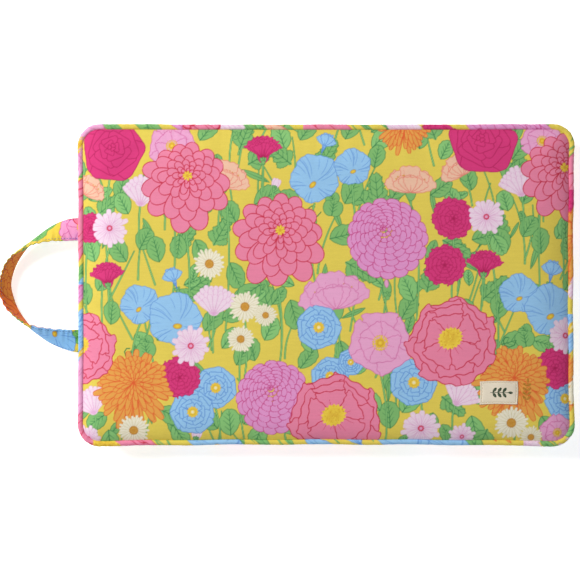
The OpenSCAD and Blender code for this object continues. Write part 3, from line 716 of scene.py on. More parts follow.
def outline_at(e, s, e_len=None):
    a, b, r = HX - e, HY - e, max(CORNER - e, 0.6)
    sx, sy, q = 2 * (a - r), 2 * (b - r), r * math.pi / 2
    total = 2 * sx + 2 * sy + 4 * q
    s = np.mod(s, total)
    p = np.zeros((len(s), 2))
    d = np.zeros((len(s), 2))
    # left side going down (towards -Y), corner, front going +X, corner, right going +Y, corner, rear going -X, corner, left
    segs = [("l", (-a, 0), (0, -1), sy / 2, (-1, 0)), ("c", (-(a - r), -(b - r)), 180.0, q, None), ("l", (-(a - r), -b), (1, 0), sx, (0, -1)),
            ("c", (a - r, -(b - r)), 270.0, q, None), ("l", (a, -(b - r)), (0, 1), sy, (1, 0)), ("c", (a - r, b - r), 0.0, q, None),
            ("l", (a - r, b), (-1, 0), sx, (0, 1)), ("c", (-(a - r), b - r), 90.0, q, None), ("l", (-a, b - r), (0, -1), sy / 2, (-1, 0))]
    at = 0.0
    for kind, p0, v, ln, nrm in segs:
        m = (s >= at - 1e-9) & (s < at + ln + 1e-9)
        t = s[m] - at
        if kind == "l":
            p[m] = np.stack([p0[0] + v[0] * t, p0[1] + v[1] * t], 1)
            d[m] = nrm
        else:
            ang = np.radians(v + 90.0 * t / ln)
            d[m] = np.stack([np.cos(ang), np.sin(ang)], 1)
            p[m] = np.array(p0) + r * d[m]
        at += ln
    return p, d


def catmull(n_out, n_in):
    """Weights that turn n_in even samples into n_out smooth ones."""
    w = np.zeros((n_out, n_in))
    for i, t in enumerate(np.linspace(0, n_in - 1, n_out)):
        k = min(int(t), n_in - 2)
        f = t - k
        c = [-0.5 * f + f * f - 0.5 * f ** 3, 1 - 2.5 * f * f + 1.5 * f ** 3, 0.5 * f + 2 * f * f - 1.5 * f ** 3, -0.5 * f * f + 0.5 * f ** 3]
        for j, cc in zip((k - 1, k, k + 1, k + 2), c):
            w[i, min(max(j, 0), n_in - 1)] += cc
    return w


def to_linear(c):
    c = np.clip(c, 0, 1)
    return np.where(c <= 0.04045, c / 12.92, ((c + 0.055) / 1.055) ** 2.4)


def print_at(x, y):
    """Colour of the print at cloth coordinates, repeating by reflection beyond its edges."""
    def fold(v, lo, hi):
        w = hi - lo
        t = np.mod(v - lo, 2 * w)
        return lo + np.where(t > w, 2 * w - t, t)
    u = (fold(x, PX0 + 2, PX1 - 2) - PX0) / RES - 0.5
    v = (fold(y, PY0 + 2, PY1 - 2) - PY0) / RES - 0.5
    i, j = np.clip(u.astype(int), 0, PW - 2), np.clip(v.astype(int), 0, PH - 2)
    fu, fv = (u - i)[..., None], (v - j)[..., None]
    return (cloth[j, i] * (1 - fu) + cloth[j, i + 1] * fu) * (1 - fv) + (cloth[j + 1, i] * (1 - fu) + cloth[j + 1, i + 1] * fu) * fv


def make_mesh(name, verts, faces, colour=None, smooth=True):
    """verts in mm; faces is a list of index arrays, each with its own number of corners."""
    me = bpy.data.meshes.new(name)
    v = (np.asarray(verts, np.float64).reshape(-1, 3) / 1000).astype(np.float32)
    me.vertices.add(len(v))
    me.vertices.foreach_set("co", v.ravel())
    faces = [np.asarray(f, np.int32) for f in faces if len(f)]
    idx = np.concatenate([f.ravel() for f in faces])
    sizes = np.concatenate([np.full(len(f), f.shape[1], np.int32) for f in faces])
    me.loops.add(len(idx))
    me.loops.foreach_set("vertex_index", idx)
    me.polygons.add(len(sizes))
    me.polygons.foreach_set("loop_start", np.concatenate([[0], np.cumsum(sizes)[:-1]]).astype(np.int32))
    me.update(calc_edges=True)
    me.polygons.foreach_set("use_smooth", np.full(len(sizes), smooth))
    if colour is not None:
        a = me.attributes.new("print", "FLOAT_COLOR", "POINT")
        c = np.ones((len(v), 4), np.float32)
        c[:, :3] = to_linear(np.asarray(colour).reshape(-1, 3))
        a.data.foreach_set("color", c.ravel())
    me.validate()
    ob = bpy.data.objects.new(name, me)
    bpy.context.scene.collection.objects.link(ob)
    return ob


def grid_normals(P):
    du = np.gradient(P, axis=1)
    dv = np.gradient(P, axis=0)
    n = np.cross(du, dv)
    return n / np.maximum(np.linalg.norm(n, axis=2, keepdims=True), 1e-9)


def shell(name, P, thick, k, colour):
    """A closed sheet of cloth: P is a grid of points on its outer face, with a coarser inner face every k points."""
    ny, nx = P.shape[:2]
    assert (ny - 1) % k == 0 and (nx - 1) % k == 0, (name, ny, nx, k)
    N = grid_normals(P)
    top = P.reshape(-1, 3)
    Q = (P - N * thick)[::k, ::k]
    my, mx = Q.shape[:2]
    I = np.arange(ny * nx).reshape(ny, nx)
    J = np.arange(my * mx).reshape(my, mx) + ny * nx
    quads = np.stack([I[:-1, :-1], I[:-1, 1:], I[1:, 1:], I[1:, :-1]], -1).reshape(-1, 4)
    under = np.stack([J[:-1, :-1], J[1:, :-1], J[1:, 1:], J[:-1, 1:]], -1).reshape(-1, 4)
    fine = np.concatenate([I[0, :-1], I[:-1, -1], I[-1, :0:-1], I[:0:-1, 0]])
    coarse = np.concatenate([J[0, :-1], J[:-1, -1], J[-1, :0:-1], J[:0:-1, 0]])
    tris = []
    nf, nc = len(fine), len(coarse)
    for c in range(nc):
        A, B = coarse[c], coarse[(c + 1) % nc]
        m = k // 2
        for i in range(k):
            f0, f1 = fine[(c * k + i) % nf], fine[(c * k + i + 1) % nf]
            tris.append((f1, f0, A if i < m else B))
        tris.append((A, B, fine[(c * k + m) % nf]))
    verts = np.concatenate([top, Q.reshape(-1, 3)])
    # the inner face is 4% darker than the outer: painted shade on the side that faces into the pad
    col = np.concatenate([colour.reshape(-1, 3), colour[::k, ::k].reshape(-1, 3) * 0.96])
    return make_mesh(name, verts, [quads, under, np.array(tris)], col)


def ring_sweep(name, P, colour, closed=True, caps=True):
    """P: (n along, m round, 3). A tube whose ends are joined, or closed with flat caps."""
    n, m = P.shape[:2]
    I = np.arange(n * m).reshape(n, m)
    a, b = I, np.roll(I, -1, axis=1)
    if closed:
        c, d = np.roll(b, -1, axis=0), np.roll(a, -1, axis=0)
    else:
        a, b, c, d = a[:-1], b[:-1], b[1:], I[1:]
        quads = np.stack([a, b, np.roll(I, -1, axis=1)[1:], d], -1).reshape(-1, 4)
        faces = [quads]
        if caps:
            faces += [I[0][::-1][None, :], I[-1][None, :]]
        return make_mesh(name, P.reshape(-1, 3), faces, None if colour is None else colour.reshape(-1, 3))
    quads = np.stack([a, b, c, d], -1).reshape(-1, 4)
    return make_mesh(name, P.reshape(-1, 3), [quads], None if colour is None else colour.reshape(-1, 3))


# ------------------------------------------------------------------ materials
def nodes_of(name):
    m = bpy.data.materials.new(name)
    m.use_nodes = True
    nt = m.node_tree
    nt.nodes.clear()
    out = nt.nodes.new("ShaderNodeOutputMaterial")
    b = nt.nodes.new("ShaderNodeBsdfPrincipled")
    nt.links.new(b.outputs[0], out.inputs[0])
    return m, nt, b


def N(nt, kind, **kw):
    n = nt.nodes.new(kind)
    for k, v in kw.items():
        if k in n.inputs:
            n.inputs[k].default_value = v
        else:
            setattr(n, k, v)
    return n


def math_node(nt, op, a, b=None, clamp=False):
    n = nt.nodes.new("ShaderNodeMath")
    n.operation = op
    n.use_clamp = clamp
    for i, v in enumerate((a, b)):
        if v is None:
            continue
        if hasattr(v, "is_output"):
            nt.links.new(v, n.inputs[i])
        else:
            n.inputs[i].default_value = v
    return n.outputs[0]


def weave_height(nt, coord, pitch_mm, twill=False):
    """Plain or twill weave: thread ridges crossing over and under, from an object-space coordinate pair."""
    sep = N(nt, "ShaderNodeSeparateXYZ")
    nt.links.new(coord, sep.inputs[0])
    k = 2 * math.pi / (pitch_mm / 1000)
    u, v = math_node(nt, "MULTIPLY", sep.outputs[0], k), math_node(nt, "MULTIPLY", sep.outputs[1], k)
    if twill:
        s = math_node(nt, "SINE", math_node(nt, "ADD", math_node(nt, "MULTIPLY", u, 0.5), math_node(nt, "MULTIPLY", v, 0.5)))
        t = math_node(nt, "SINE", math_node(nt, "SUBTRACT", u, v))
        return math_node(nt, "ADD", math_node(nt, "MULTIPLY", s, 0.35), math_node(nt, "MULTIPLY", t, 0.15))
    a = math_node(nt, "ABSOLUTE", math_node(nt, "SINE", math_node(nt, "MULTIPLY", u, 0.5)))
    b = math_node(nt, "ABSOLUTE", math_node(nt, "SINE", math_node(nt, "MULTIPLY", v, 0.5)))
    check = math_node(nt, "MULTIPLY", math_node(nt, "SINE", math_node(nt, "MULTIPLY", u, 0.5)), math_node(nt, "SINE", math_node(nt, "MULTIPLY", v, 0.5)))
    sel = math_node(nt, "GREATER_THAN", check, 0.0)
    d = math_node(nt, "SUBTRACT", a, b)
    return math_node(nt, "ADD", b, math_node(nt, "MULTIPLY", sel, d))


def plane_coord(nt, plane, turn=0.0):
    tc = N(nt, "ShaderNodeTexCoord")
    mp = N(nt, "ShaderNodeMapping")
    nt.links.new(tc.outputs["Object"], mp.inputs[0])
    mp.inputs["Rotation"].default_value = {"xy": (0, 0, turn), "xz": (math.pi / 2, 0, turn), "yz": (math.pi / 2, 0, math.pi / 2 + turn)}[plane]
    return mp.outputs[0]


def cloth_material(name, plane="xy", pitch=0.42, turn=0.0, colour=None, rough=0.82, sheen=0.22, bump=0.22, shade=0.07, twill=False, attr="print", slub=True, puck=0.0):
    """Woven cloth: the print attribute (or one colour) varied by painted shade in the weave's hollows, slub and
    soiling, with a weave bump.
    """
    m, nt, b = nodes_of(name)
    L = nt.links.new
    coord = plane_coord(nt, plane, turn)
    tc = N(nt, "ShaderNodeTexCoord")
    if colour is None:
        at = N(nt, "ShaderNodeAttribute")
        at.attribute_name = attr
        base = at.outputs["Color"]
    else:
        rgb = N(nt, "ShaderNodeRGB")
        rgb.outputs[0].default_value = (*to_linear(np.array(colour)), 1)
        base = rgb.outputs[0]
    h = weave_height(nt, coord, pitch, twill)
    big = N(nt, "ShaderNodeTexNoise", Scale=38.0, Detail=3.0, Roughness=0.55)
    fine = N(nt, "ShaderNodeTexNoise", Scale=900.0, Detail=2.0, Roughness=0.6)
    stretch = N(nt, "ShaderNodeMapping")
    stretch.inputs["Scale"].default_value = (0.12, 1.0, 1.0)
    L(coord, stretch.inputs[0])
    slubs = N(nt, "ShaderNodeTexNoise", Scale=620.0, Detail=1.0, Roughness=0.5)
    L(stretch.outputs[0], slubs.inputs["Vector"])
    L(tc.outputs["Object"], big.inputs["Vector"])
    L(tc.outputs["Object"], fine.inputs["Vector"])
    # brightness = 1 + shade * (weave, fine, big): the weave term is painted shade where threads dip under, the noise
    # terms are random tone
    t = math_node(nt, "MULTIPLY", math_node(nt, "SUBTRACT", h, 0.62), shade * 1.6)
    t = math_node(nt, "ADD", t, math_node(nt, "MULTIPLY", math_node(nt, "SUBTRACT", fine.outputs[0], 0.5), shade * 1.8))
    t = math_node(nt, "ADD", t, math_node(nt, "MULTIPLY", math_node(nt, "SUBTRACT", big.outputs[0], 0.5), shade * 1.2))
    if slub:
        t = math_node(nt, "ADD", t, math_node(nt, "MULTIPLY", math_node(nt, "SUBTRACT", slubs.outputs[0], 0.5), shade * 1.4))
    gain = math_node(nt, "ADD", t, 1.0)
    vm = nt.nodes.new("ShaderNodeVectorMath")
    vm.operation = "SCALE"
    L(base, vm.inputs[0])
    L(gain, vm.inputs["Scale"])
    L(vm.outputs[0], b.inputs["Base Color"])
    rr = math_node(nt, "ADD", math_node(nt, "MULTIPLY", math_node(nt, "SUBTRACT", fine.outputs[0], 0.5), 0.22), rough, True)
    L(rr, b.inputs["Roughness"])
    b.inputs["Specular IOR Level"].default_value = 0.16
    b.inputs["Sheen Weight"].default_value = sheen
    b.inputs["Sheen Roughness"].default_value = 0.45
    hh = math_node(nt, "ADD", math_node(nt, "MULTIPLY", h, 0.7), math_node(nt, "MULTIPLY", slubs.outputs[0], 0.6))
    b1 = N(nt, "ShaderNodeBump", Strength=bump, Distance=0.00018)
    L(hh, b1.inputs["Height"])
    soft = N(nt, "ShaderNodeTexNoise", Scale=95.0, Detail=2.0, Roughness=0.5)
    L(tc.outputs["Object"], soft.inputs["Vector"])
    b2 = N(nt, "ShaderNodeBump", Strength=0.25 + puck, Distance=0.0006)
    L(soft.outputs[0], b2.inputs["Height"])
    L(b2.outputs[0], b1.inputs["Normal"])
    L(b1.outputs[0], b.inputs["Normal"])
    return m


def thread_material(name, colour, sheen=0.5, rough=0.45, metal=0.0, twist=900.0):
    """Twisted thread: fine diagonal ply lines, a soft shine."""
    m, nt, b = nodes_of(name)
    L = nt.links.new
    tc = N(nt, "ShaderNodeTexCoord")
    wv = N(nt, "ShaderNodeTexWave", Scale=twist, Distortion=1.5, Detail=1.0)
    wv.bands_direction = "DIAGONAL"
    L(tc.outputs["Object"], wv.inputs["Vector"])
    nz = N(nt, "ShaderNodeTexNoise", Scale=260.0, Detail=2.0)
    L(tc.outputs["Object"], nz.inputs["Vector"])
    ramp = N(nt, "ShaderNodeMix", data_type="RGBA")
    c = to_linear(np.array(colour))
    # the ply wave paints the crests lighter and the grooves darker: painted highlight and painted shade; the noise part
    # is random tone
    f = math_node(nt, "ADD", math_node(nt, "MULTIPLY", wv.outputs[1], 0.65), math_node(nt, "MULTIPLY", nz.outputs[0], 0.35))
    L(f, ramp.inputs[0])
    ramp.inputs[6].default_value = (*(c * 0.72), 1)
    ramp.inputs[7].default_value = (*np.clip(c * 1.18, 0, 1), 1)
    L(ramp.outputs[2], b.inputs["Base Color"])
    b.inputs["Metallic"].default_value = metal
    rr = math_node(nt, "ADD", math_node(nt, "MULTIPLY", nz.outputs[0], 0.2), rough - 0.1, True)
    L(rr, b.inputs["Roughness"])
    b.inputs["Sheen Weight"].default_value = sheen
    bm = N(nt, "ShaderNodeBump", Strength=0.5, Distance=0.00008)
    L(wv.outputs[1], bm.inputs["Height"])
    L(bm.outputs[0], b.inputs["Normal"])
    return m


def metal_material(name, colour):
    """Nickel plating: brushed along X, with faint handling smudges and softly worn tone."""
    m, nt, b = nodes_of(name)
    L = nt.links.new
    tc = N(nt, "ShaderNodeTexCoord")
    mp = N(nt, "ShaderNodeMapping")
    mp.inputs["Scale"].default_value = (0.06, 1, 1)
    L(tc.outputs["Object"], mp.inputs[0])
    br = N(nt, "ShaderNodeTexNoise", Scale=5200.0, Detail=2.0)
    L(mp.outputs[0], br.inputs["Vector"])
    sm = N(nt, "ShaderNodeTexNoise", Scale=210.0, Detail=3.0)
    L(tc.outputs["Object"], sm.inputs["Vector"])
    mx = N(nt, "ShaderNodeMix", data_type="RGBA")
    L(sm.outputs[0], mx.inputs[0])
    c = np.array(colour)
    mx.inputs[6].default_value = (*(c * 0.8), 1)
    mx.inputs[7].default_value = (*np.clip(c * 1.1, 0, 1), 1)
    L(mx.outputs[2], b.inputs["Base Color"])
    b.inputs["Metallic"].default_value = 1.0
    rr = math_node(nt, "ADD", math_node(nt, "MULTIPLY", br.outputs[0], 0.16), math_node(nt, "MULTIPLY", sm.outputs[0], 0.22))
    rr = math_node(nt, "ADD", rr, 0.08)
    L(rr, b.inputs["Roughness"])
    bm = N(nt, "ShaderNodeBump", Strength=0.15, Distance=0.00005)
    L(br.outputs[0], bm.inputs["Height"])
    L(bm.outputs[0], b.inputs["Normal"])
    return m


def plastic_material(name, colour):
    """Moulded teeth: a satin polymer with slight colour drift and a fine orange-peel."""
    m, nt, b = nodes_of(name)
    L = nt.links.new
    tc = N(nt, "ShaderNodeTexCoord")
    nz = N(nt, "ShaderNodeTexNoise", Scale=420.0, Detail=2.0)
    L(tc.outputs["Object"], nz.inputs["Vector"])
    fn = N(nt, "ShaderNodeTexNoise", Scale=2600.0, Detail=1.0)
    L(tc.outputs["Object"], fn.inputs["Vector"])
    mx = N(nt, "ShaderNodeMix", data_type="RGBA")
    L(nz.outputs[0], mx.inputs[0])
    c = to_linear(np.array(colour))
    mx.inputs[6].default_value = (*(c * 0.86), 1)
    mx.inputs[7].default_value = (*np.clip(c * 1.1, 0, 1), 1)
    L(mx.outputs[2], b.inputs["Base Color"])
    L(math_node(nt, "ADD", math_node(nt, "MULTIPLY", nz.outputs[0], 0.2), 0.32), b.inputs["Roughness"])
    b.inputs["Subsurface Weight"].default_value = 0.08
    b.inputs["Subsurface Radius"].default_value = (0.001, 0.001, 0.0006)
    bm = N(nt, "ShaderNodeBump", Strength=0.2, Distance=0.00006)
    L(fn.outputs[0], bm.inputs["Height"])
    L(bm.outputs[0], b.inputs["Normal"])
    return m


def foam_material(name):
    m, nt, b = nodes_of(name)
    L = nt.links.new
    tc = N(nt, "ShaderNodeTexCoord")
    vo = N(nt, "ShaderNodeTexVoronoi", Scale=650.0)
    L(tc.outputs["Object"], vo.inputs["Vector"])
    nz = N(nt, "ShaderNodeTexNoise", Scale=60.0, Detail=4.0)
    L(tc.outputs["Object"], nz.inputs["Vector"])
    mx = N(nt, "ShaderNodeMix", data_type="RGBA")
    # colour darker toward each cell's middle, where the pores sink in: painted shade in the pores; the noise adds
    # random tone
    L(math_node(nt, "ADD", math_node(nt, "MULTIPLY", vo.outputs[0], 0.6), math_node(nt, "MULTIPLY", nz.outputs[0], 0.4), True), mx.inputs[0])
    mx.inputs[6].default_value = (0.62, 0.56, 0.40, 1)
    mx.inputs[7].default_value = (0.90, 0.87, 0.76, 1)
    L(mx.outputs[2], b.inputs["Base Color"])
    b.inputs["Roughness"].default_value = 0.95
    b.inputs["Sheen Weight"].default_value = 0.1
    bm = N(nt, "ShaderNodeBump", Strength=0.6, Distance=0.0004)
    L(vo.outputs[0], bm.inputs["Height"])
    L(bm.outputs[0], b.inputs["Normal"])
    return m


def wear(ob, mat):
    ob.data.materials.clear()
    ob.data.materials.append(mat)
    return ob


# ------------------------------------------------------------------ the cushion: cloth simulation of the filled form
def rounded_box(e, z0, z1, step):
    """Closed box of the pad's plan moved in by e, as rings of points, for the simulation."""
    p, d, s, total = outline(e, step)
    n = len(p)
    verts, faces = [], []
    zs = np.linspace(z0, z1, max(3, int((z1 - z0) / step)))
    for z in zs:
        verts += [(x, y, z) for x, y in p]
    for k in range(len(zs) - 1):
        for i in range(n):
            j = (i + 1) % n
            faces.append((k * n + i, k * n + j, (k + 1) * n + j, (k + 1) * n + i))
    faces.append(tuple(range(n))[::-1])
    faces.append(tuple((len(zs) - 1) * n + i for i in range(n)))
    return verts, faces


def simulate_form():
    """The filled cover under pressure, held along its two rows of piping. Returns the object and its swollen points."""
    z0, z1 = ZB - 1.0, ZT + 0.6
    verts, faces = rounded_box(8.5, z0, z1, 6.0)
    me = bpy.data.meshes.new("form")
    me.from_pydata([Vector(v) / 1000 for v in verts], [], faces)
    ob = bpy.data.objects.new("form", me)
    bpy.context.scene.collection.objects.link(ob)
    bpy.context.view_layer.objects.active = ob
    ob.select_set(True)
    rm = ob.modifiers.new("remesh", "REMESH")
    rm.mode = "VOXEL"
    rm.voxel_size = 0.0058
    bpy.ops.object.modifier_apply(modifier="remesh")
    n = len(ob.data.vertices)
    rest = np.zeros(n * 3)
    ob.data.vertices.foreach_get("co", rest)
    rest = rest.reshape(-1, 3) * 1000
    # the seams: points near the two edges of the box
    inx = HX - 8.5 - np.abs(rest[:, 0])
    iny = HY - 8.5 - np.abs(rest[:, 1])
    r = CORNER - 8.5
    q = np.hypot(np.maximum(r - inx, 0), np.maximum(r - iny, 0))
    edge = np.minimum(np.minimum(inx, iny), r - q)
    seam = (edge < 4.5) & ((rest[:, 2] > z1 - 4.5) | (rest[:, 2] < z0 + 4.5))
    flat = rest[:, 2] < z0 + 2.0
    vg = ob.vertex_groups.new(name="seam")
    vg.add([int(i) for i in np.nonzero(seam)[0]], 0.92, "REPLACE")
    vg.add([int(i) for i in np.nonzero(flat)[0]], 1.0, "REPLACE")
    cl = ob.modifiers.new("cloth", "CLOTH")
    st = cl.settings
    st.quality = 4
    st.mass = 0.25
    st.tension_stiffness = st.compression_stiffness = 12
    st.shear_stiffness = 5
    st.bending_stiffness = 0.6
    st.use_pressure = True
    st.uniform_pressure_force = 4.0
    st.vertex_group_mass = "seam"
    st.pin_stiffness = 2.0
    st.shrink_min = -0.012
    st.effector_weights.gravity = 0.0
    cl.collision_settings.use_collision = False
    cl.point_cache.frame_start, cl.point_cache.frame_end = 1, 20
    sc = bpy.context.scene
    for f in range(1, 21):
        sc.frame_set(f)
    dg = bpy.context.evaluated_depsgraph_get()
    ev = ob.evaluated_get(dg)
    out = np.zeros(n * 3)
    ev.data.vertices.foreach_get("co", out)
    out = out.reshape(-1, 3) * 1000
    move = out - rest
    ln = np.linalg.norm(move, axis=1, keepdims=True)
    move *= np.minimum(1.0, 9.0 / np.maximum(ln, 1e-6))
    ob.modifiers.clear()
    sc.frame_set(1)
    return ob, rest + move


NXC, NYC = 76, 50


def form_fields():
    """Crown of the top (0 at the seam, 1 at its highest), read from the simulated form, returned with the form itself.
    """
    ax, by = HX - 5.0, HY - 5.0
    gx, gy = np.linspace(-ax, ax, NXC), np.linspace(-by, by, NYC)
    X, Y = np.meshgrid(gx, gy)
    ob, out = simulate_form()
    ob.data.vertices.foreach_set("co", (out / 1000).astype(np.float32).ravel())
    ob.data.update()
    tree = BVHTree.FromObject(ob, bpy.context.evaluated_depsgraph_get())
    Z = np.full(X.shape, np.nan)
    for j in range(NYC):
        for i in range(NXC):
            x = max(-(HX - 12.0), min(HX - 12.0, X[j, i]))
            y = max(-(HY - 12.0), min(HY - 12.0, Y[j, i]))
            hit = tree.ray_cast(Vector((x / 1000, y / 1000, 0.2)), Vector((0, 0, -1)))
            if hit[0] is not None:
                Z[j, i] = hit[0].z * 1000
    base = ZT + 0.6
    Z = np.where(np.isnan(Z), base, Z)
    e = np.minimum(ax - np.abs(X), by - np.abs(Y))
    s = np.clip((Z - base) / max(np.percentile(Z - base, 97), 1e-3), 0, 1.1)
    s = s * np.clip(e / 12.0, 0, 1) ** 0.5
    for _ in range(2):
        q = np.pad(s, 1, mode="edge")
        s = (q[1:-1, 1:-1] * 4 + q[:-2, 1:-1] + q[2:, 1:-1] + q[1:-1, :-2] + q[1:-1, 2:]) / 8
    return ob, s


form, DOME = form_fields()
low = waves(11, 7, 70, 150)
mid = waves(12, 9, 26, 60)
E0 = 5.0
ZS = ZT + 1.35


def plan_grid(nx, ny, e):
    """A grid over the rounded plan moved in by e: corner cells are eased on to the round corner."""
    ax, by, r = HX - e, HY - e, CORNER - e
    X, Y = np.meshgrid(np.linspace(-ax, ax, nx), np.linspace(-by, by, ny))
    u = np.clip((np.abs(X) - (ax - r)) / r, 0, 1)
    v = np.clip((np.abs(Y) - (by - r)) / r, 0, 1)
    x = np.where(u > 0, ax - r + r * u * np.sqrt(1 - v * v / 2), np.abs(X))
    y = np.where(v > 0, by - r + r * v * np.sqrt(1 - u * u / 2), np.abs(Y))
    both = (u > 0) & (v > 0)
    x = np.where(both, x, np.abs(X))
    y = np.where(both, y, np.abs(Y))
    q = np.hypot(np.maximum(x - (ax - r), 0), np.maximum(y - (by - r), 0))
    inside = np.where((x > ax - r) & (y > by - r), r - q, np.minimum(ax - x, by - y))
    return np.sign(X) * x, np.sign(Y) * y, np.maximum(inside, 0)


def top_surface(x, y, e, dome):
    rise = CROWN - 0.4 - ZS
    front, right = np.clip(-y / HY, 0, 1) ** 2, np.clip(x / HX, 0, 1) ** 3      # fullest fall along the front and right
    shoulder = np.minimum(4.6 + 4.4 * front + 1.2 * right, rise - 0.5)
    z = ZS + shoulder * (1 - np.exp(-e / (6.6 + 4.2 * front + 1.6 * right))) + (rise - shoulder) * (1 - (1 - np.clip(dome, 0, 1)) ** 2.0)
    fade = 1 - np.exp(-e / 3.0)
    z = z + fade * (0.16 * low(x, y) + 0.10 * mid(x, y))
    near = np.exp(-e / 5.5) * fade
    side = (np.abs(y) / HY) > (np.abs(x) / HX)
    rip = np.where(side, np.sin(x * 6.28 / 7.3 + 1.5 * mid(x, 0 * y)), np.sin(y * 6.28 / 7.9 + 1.7 * mid(0 * x, y)))
    gather = 0.16 + 0.22 * np.clip((np.abs(x) - HX + 60) / 60, 0, 1) * np.clip((np.abs(y) - HY + 60) / 60, 0, 1)
    return z + near * gather * rip * (0.6 + 0.6 * np.clip(low(y, x), -1, 1))


def smooth_dome(nx, ny):
    return catmull(ny, NYC) @ DOME @ catmull(nx, NXC).T


NX, NY = 745, 481          # even steps of about 0.6 mm
TX, TY, TE = plan_grid(NX, NY, E0)
DENSE = smooth_dome(NX, NY)
TZ = top_surface(TX, TY, TE, DENSE)
WX, WY = warp(TX, TY)
drift = waves(21, 5, 120, 260)
TOP = np.stack([WX, WY, TZ], -1)
TOPC = print_at(TX + 0.7 * drift(TX, TY), TY + 0.6 * drift(TY, TX))
top_cloth = shell("top_panel_cloth", TOP, 0.9, 4, TOPC)


def top_z(x, y):
    """Height of the top at a point, from the dense grid (the middle of the panel, where the grid is even)."""
    ax, by = HX - E0, HY - E0
    u = (np.asarray(x, float) + ax) / (2 * ax) * (NX - 1)
    v = (np.asarray(y, float) + by) / (2 * by) * (NY - 1)
    i, j = np.clip(u.astype(int), 0, NX - 2), np.clip(v.astype(int), 0, NY - 2)
    fu, fv = u - i, v - j
    return (TZ[j, i] * (1 - fu) + TZ[j, i + 1] * fu) * (1 - fv) + (TZ[j + 1, i] * (1 - fu) + TZ[j + 1, i + 1] * fu) * fv


# underside panel: flat where it rests on the ground, rounding up to its piping
BXN, BYN = 497, 321
bx, by_, be = plan_grid(BXN, BYN, E0)
bz = 0.02 + (ZB - 1.35) * np.exp(-be / 2.4)
bz = bz + np.exp(-be / 6) * (1 - np.exp(-be / 2)) * 0.12 * (1 + np.sin((bx + by_) * 6.28 / 8.1))
wbx, wby = warp(bx, by_)
BASE = np.stack([-wbx, wby, bz], -1)
BASEC = print_at(-bx + 41, -by_ - 16)
base_cloth = shell("base_panel_cloth", BASE, 0.9, 4, BASEC)


# ------------------------------------------------------------------ piping
def piping(name, zc, seed, shift):
    """One row of piping all round, with the flange that goes into the seam."""
    p, d, s, total = outline(PIPE, 0.72)
    n = len(p)
    w = waves(seed, 6, 9, 30)
    w2 = waves(seed + 1, 8, 2.2, 4.2)
    cornering = np.clip(1 - np.minimum.reduce([np.hypot(p[:, 0] - sx * (HX - CORNER), p[:, 1] - sy * (HY - CORNER)) for sx in (-1, 1) for sy in (-1, 1)]) / 34.0, 0, 1) ** 0.6
    m = 22
    angs = np.linspace(168, -168, m)
    prof = []
    for a in angs:
        prof.append((math.cos(math.radians(a)) * PIPE, math.sin(math.radians(a)) * PIPE, 1.0))
    full = [(-9.6, 0.36, 0.0), (-6.0, 0.40, 0.0)] + prof + [(-6.0, -0.40, 0.0), (-9.6, -0.36, 0.0)]
    full = np.array(full)[::-1]
    M = len(full)
    P = np.zeros((n, M, 3))
    S = s[:, None]
    ang = np.arctan2(full[:, 1], full[:, 0])[None, :]
    k = full[:, 2][None, :]
    gather = (0.045 + 0.15 * cornering)[:, None] * w2(S, ang * 2.0) + 0.10 * w(S, ang * 6)
    helper = 0.07 * np.sin(S * 6.2832 / 3.1 + 0.9 * np.sin(S / 17.0)) * (0.4 + cornering[:, None])
    rad_gain = 1 + k * (gather + helper) / PIPE * 0.8
    off = full[:, 0][None, :] * rad_gain
    zz = full[:, 1][None, :] * np.where(k > 0, rad_gain, 1)
    # the roll leans and wanders slightly along its length
    wander = 0.16 * w(S, 0 * S) * k
    P[..., 0] = p[:, None, 0] + d[:, None, 0] * off
    P[..., 1] = p[:, None, 1] + d[:, None, 1] * off
    P[..., 2] = zc + zz + wander
    P[..., 0], P[..., 1] = warp(P[..., 0], P[..., 1])
    # bias-cut strip of the same print, with a join every so often
    t = np.unwrap(np.arctan2(full[:, 1], full[:, 0]))
    arc = t[None, :] * PIPE
    piece = np.floor(s / 410.0)
    u = s + shift + piece * 97
    cx = -240 + np.mod(u * 0.92, 470)[:, None] + arc * 0.7
    cy = -140 + np.mod(u * 0.23 + piece * 61, 260)[:, None] + arc * 0.72
    col = print_at(cx, cy)
    return ring_sweep(name, P, col, closed=True)


top_pipe = piping("top_piping_roll", ZT, 31, 220.0)
base_pipe = piping("base_piping_roll", ZB, 37, 133.0)


def cord(name, zc):
    """Three-ply twisted cord inside the piping."""
    p, d, s, total = outline(PIPE, 2.4)
    n, m = len(p), 15
    th = np.linspace(0, 2 * math.pi, m, endpoint=False)[None, :]
    turns = round(total / 9.0)
    tw = th - 2 * math.pi * turns * s[:, None] / total
    r = 1.72 * (0.86 + 0.14 * np.abs(np.cos(1.5 * tw)))
    P = np.zeros((n, m, 3))
    P[..., 0] = p[:, None, 0] + d[:, None, 0] * r * np.cos(th)
    P[..., 1] = p[:, None, 1] + d[:, None, 1] * r * np.cos(th)
    P[..., 2] = zc + r * np.sin(th)
    P[..., 0], P[..., 1] = warp(P[..., 0], P[..., 1])
    return ring_sweep(name, P[:, ::-1], None, closed=True)


top_cord = cord("top_piping_cord_ply", ZT)
base_cord = cord("base_piping_cord_ply", ZB)


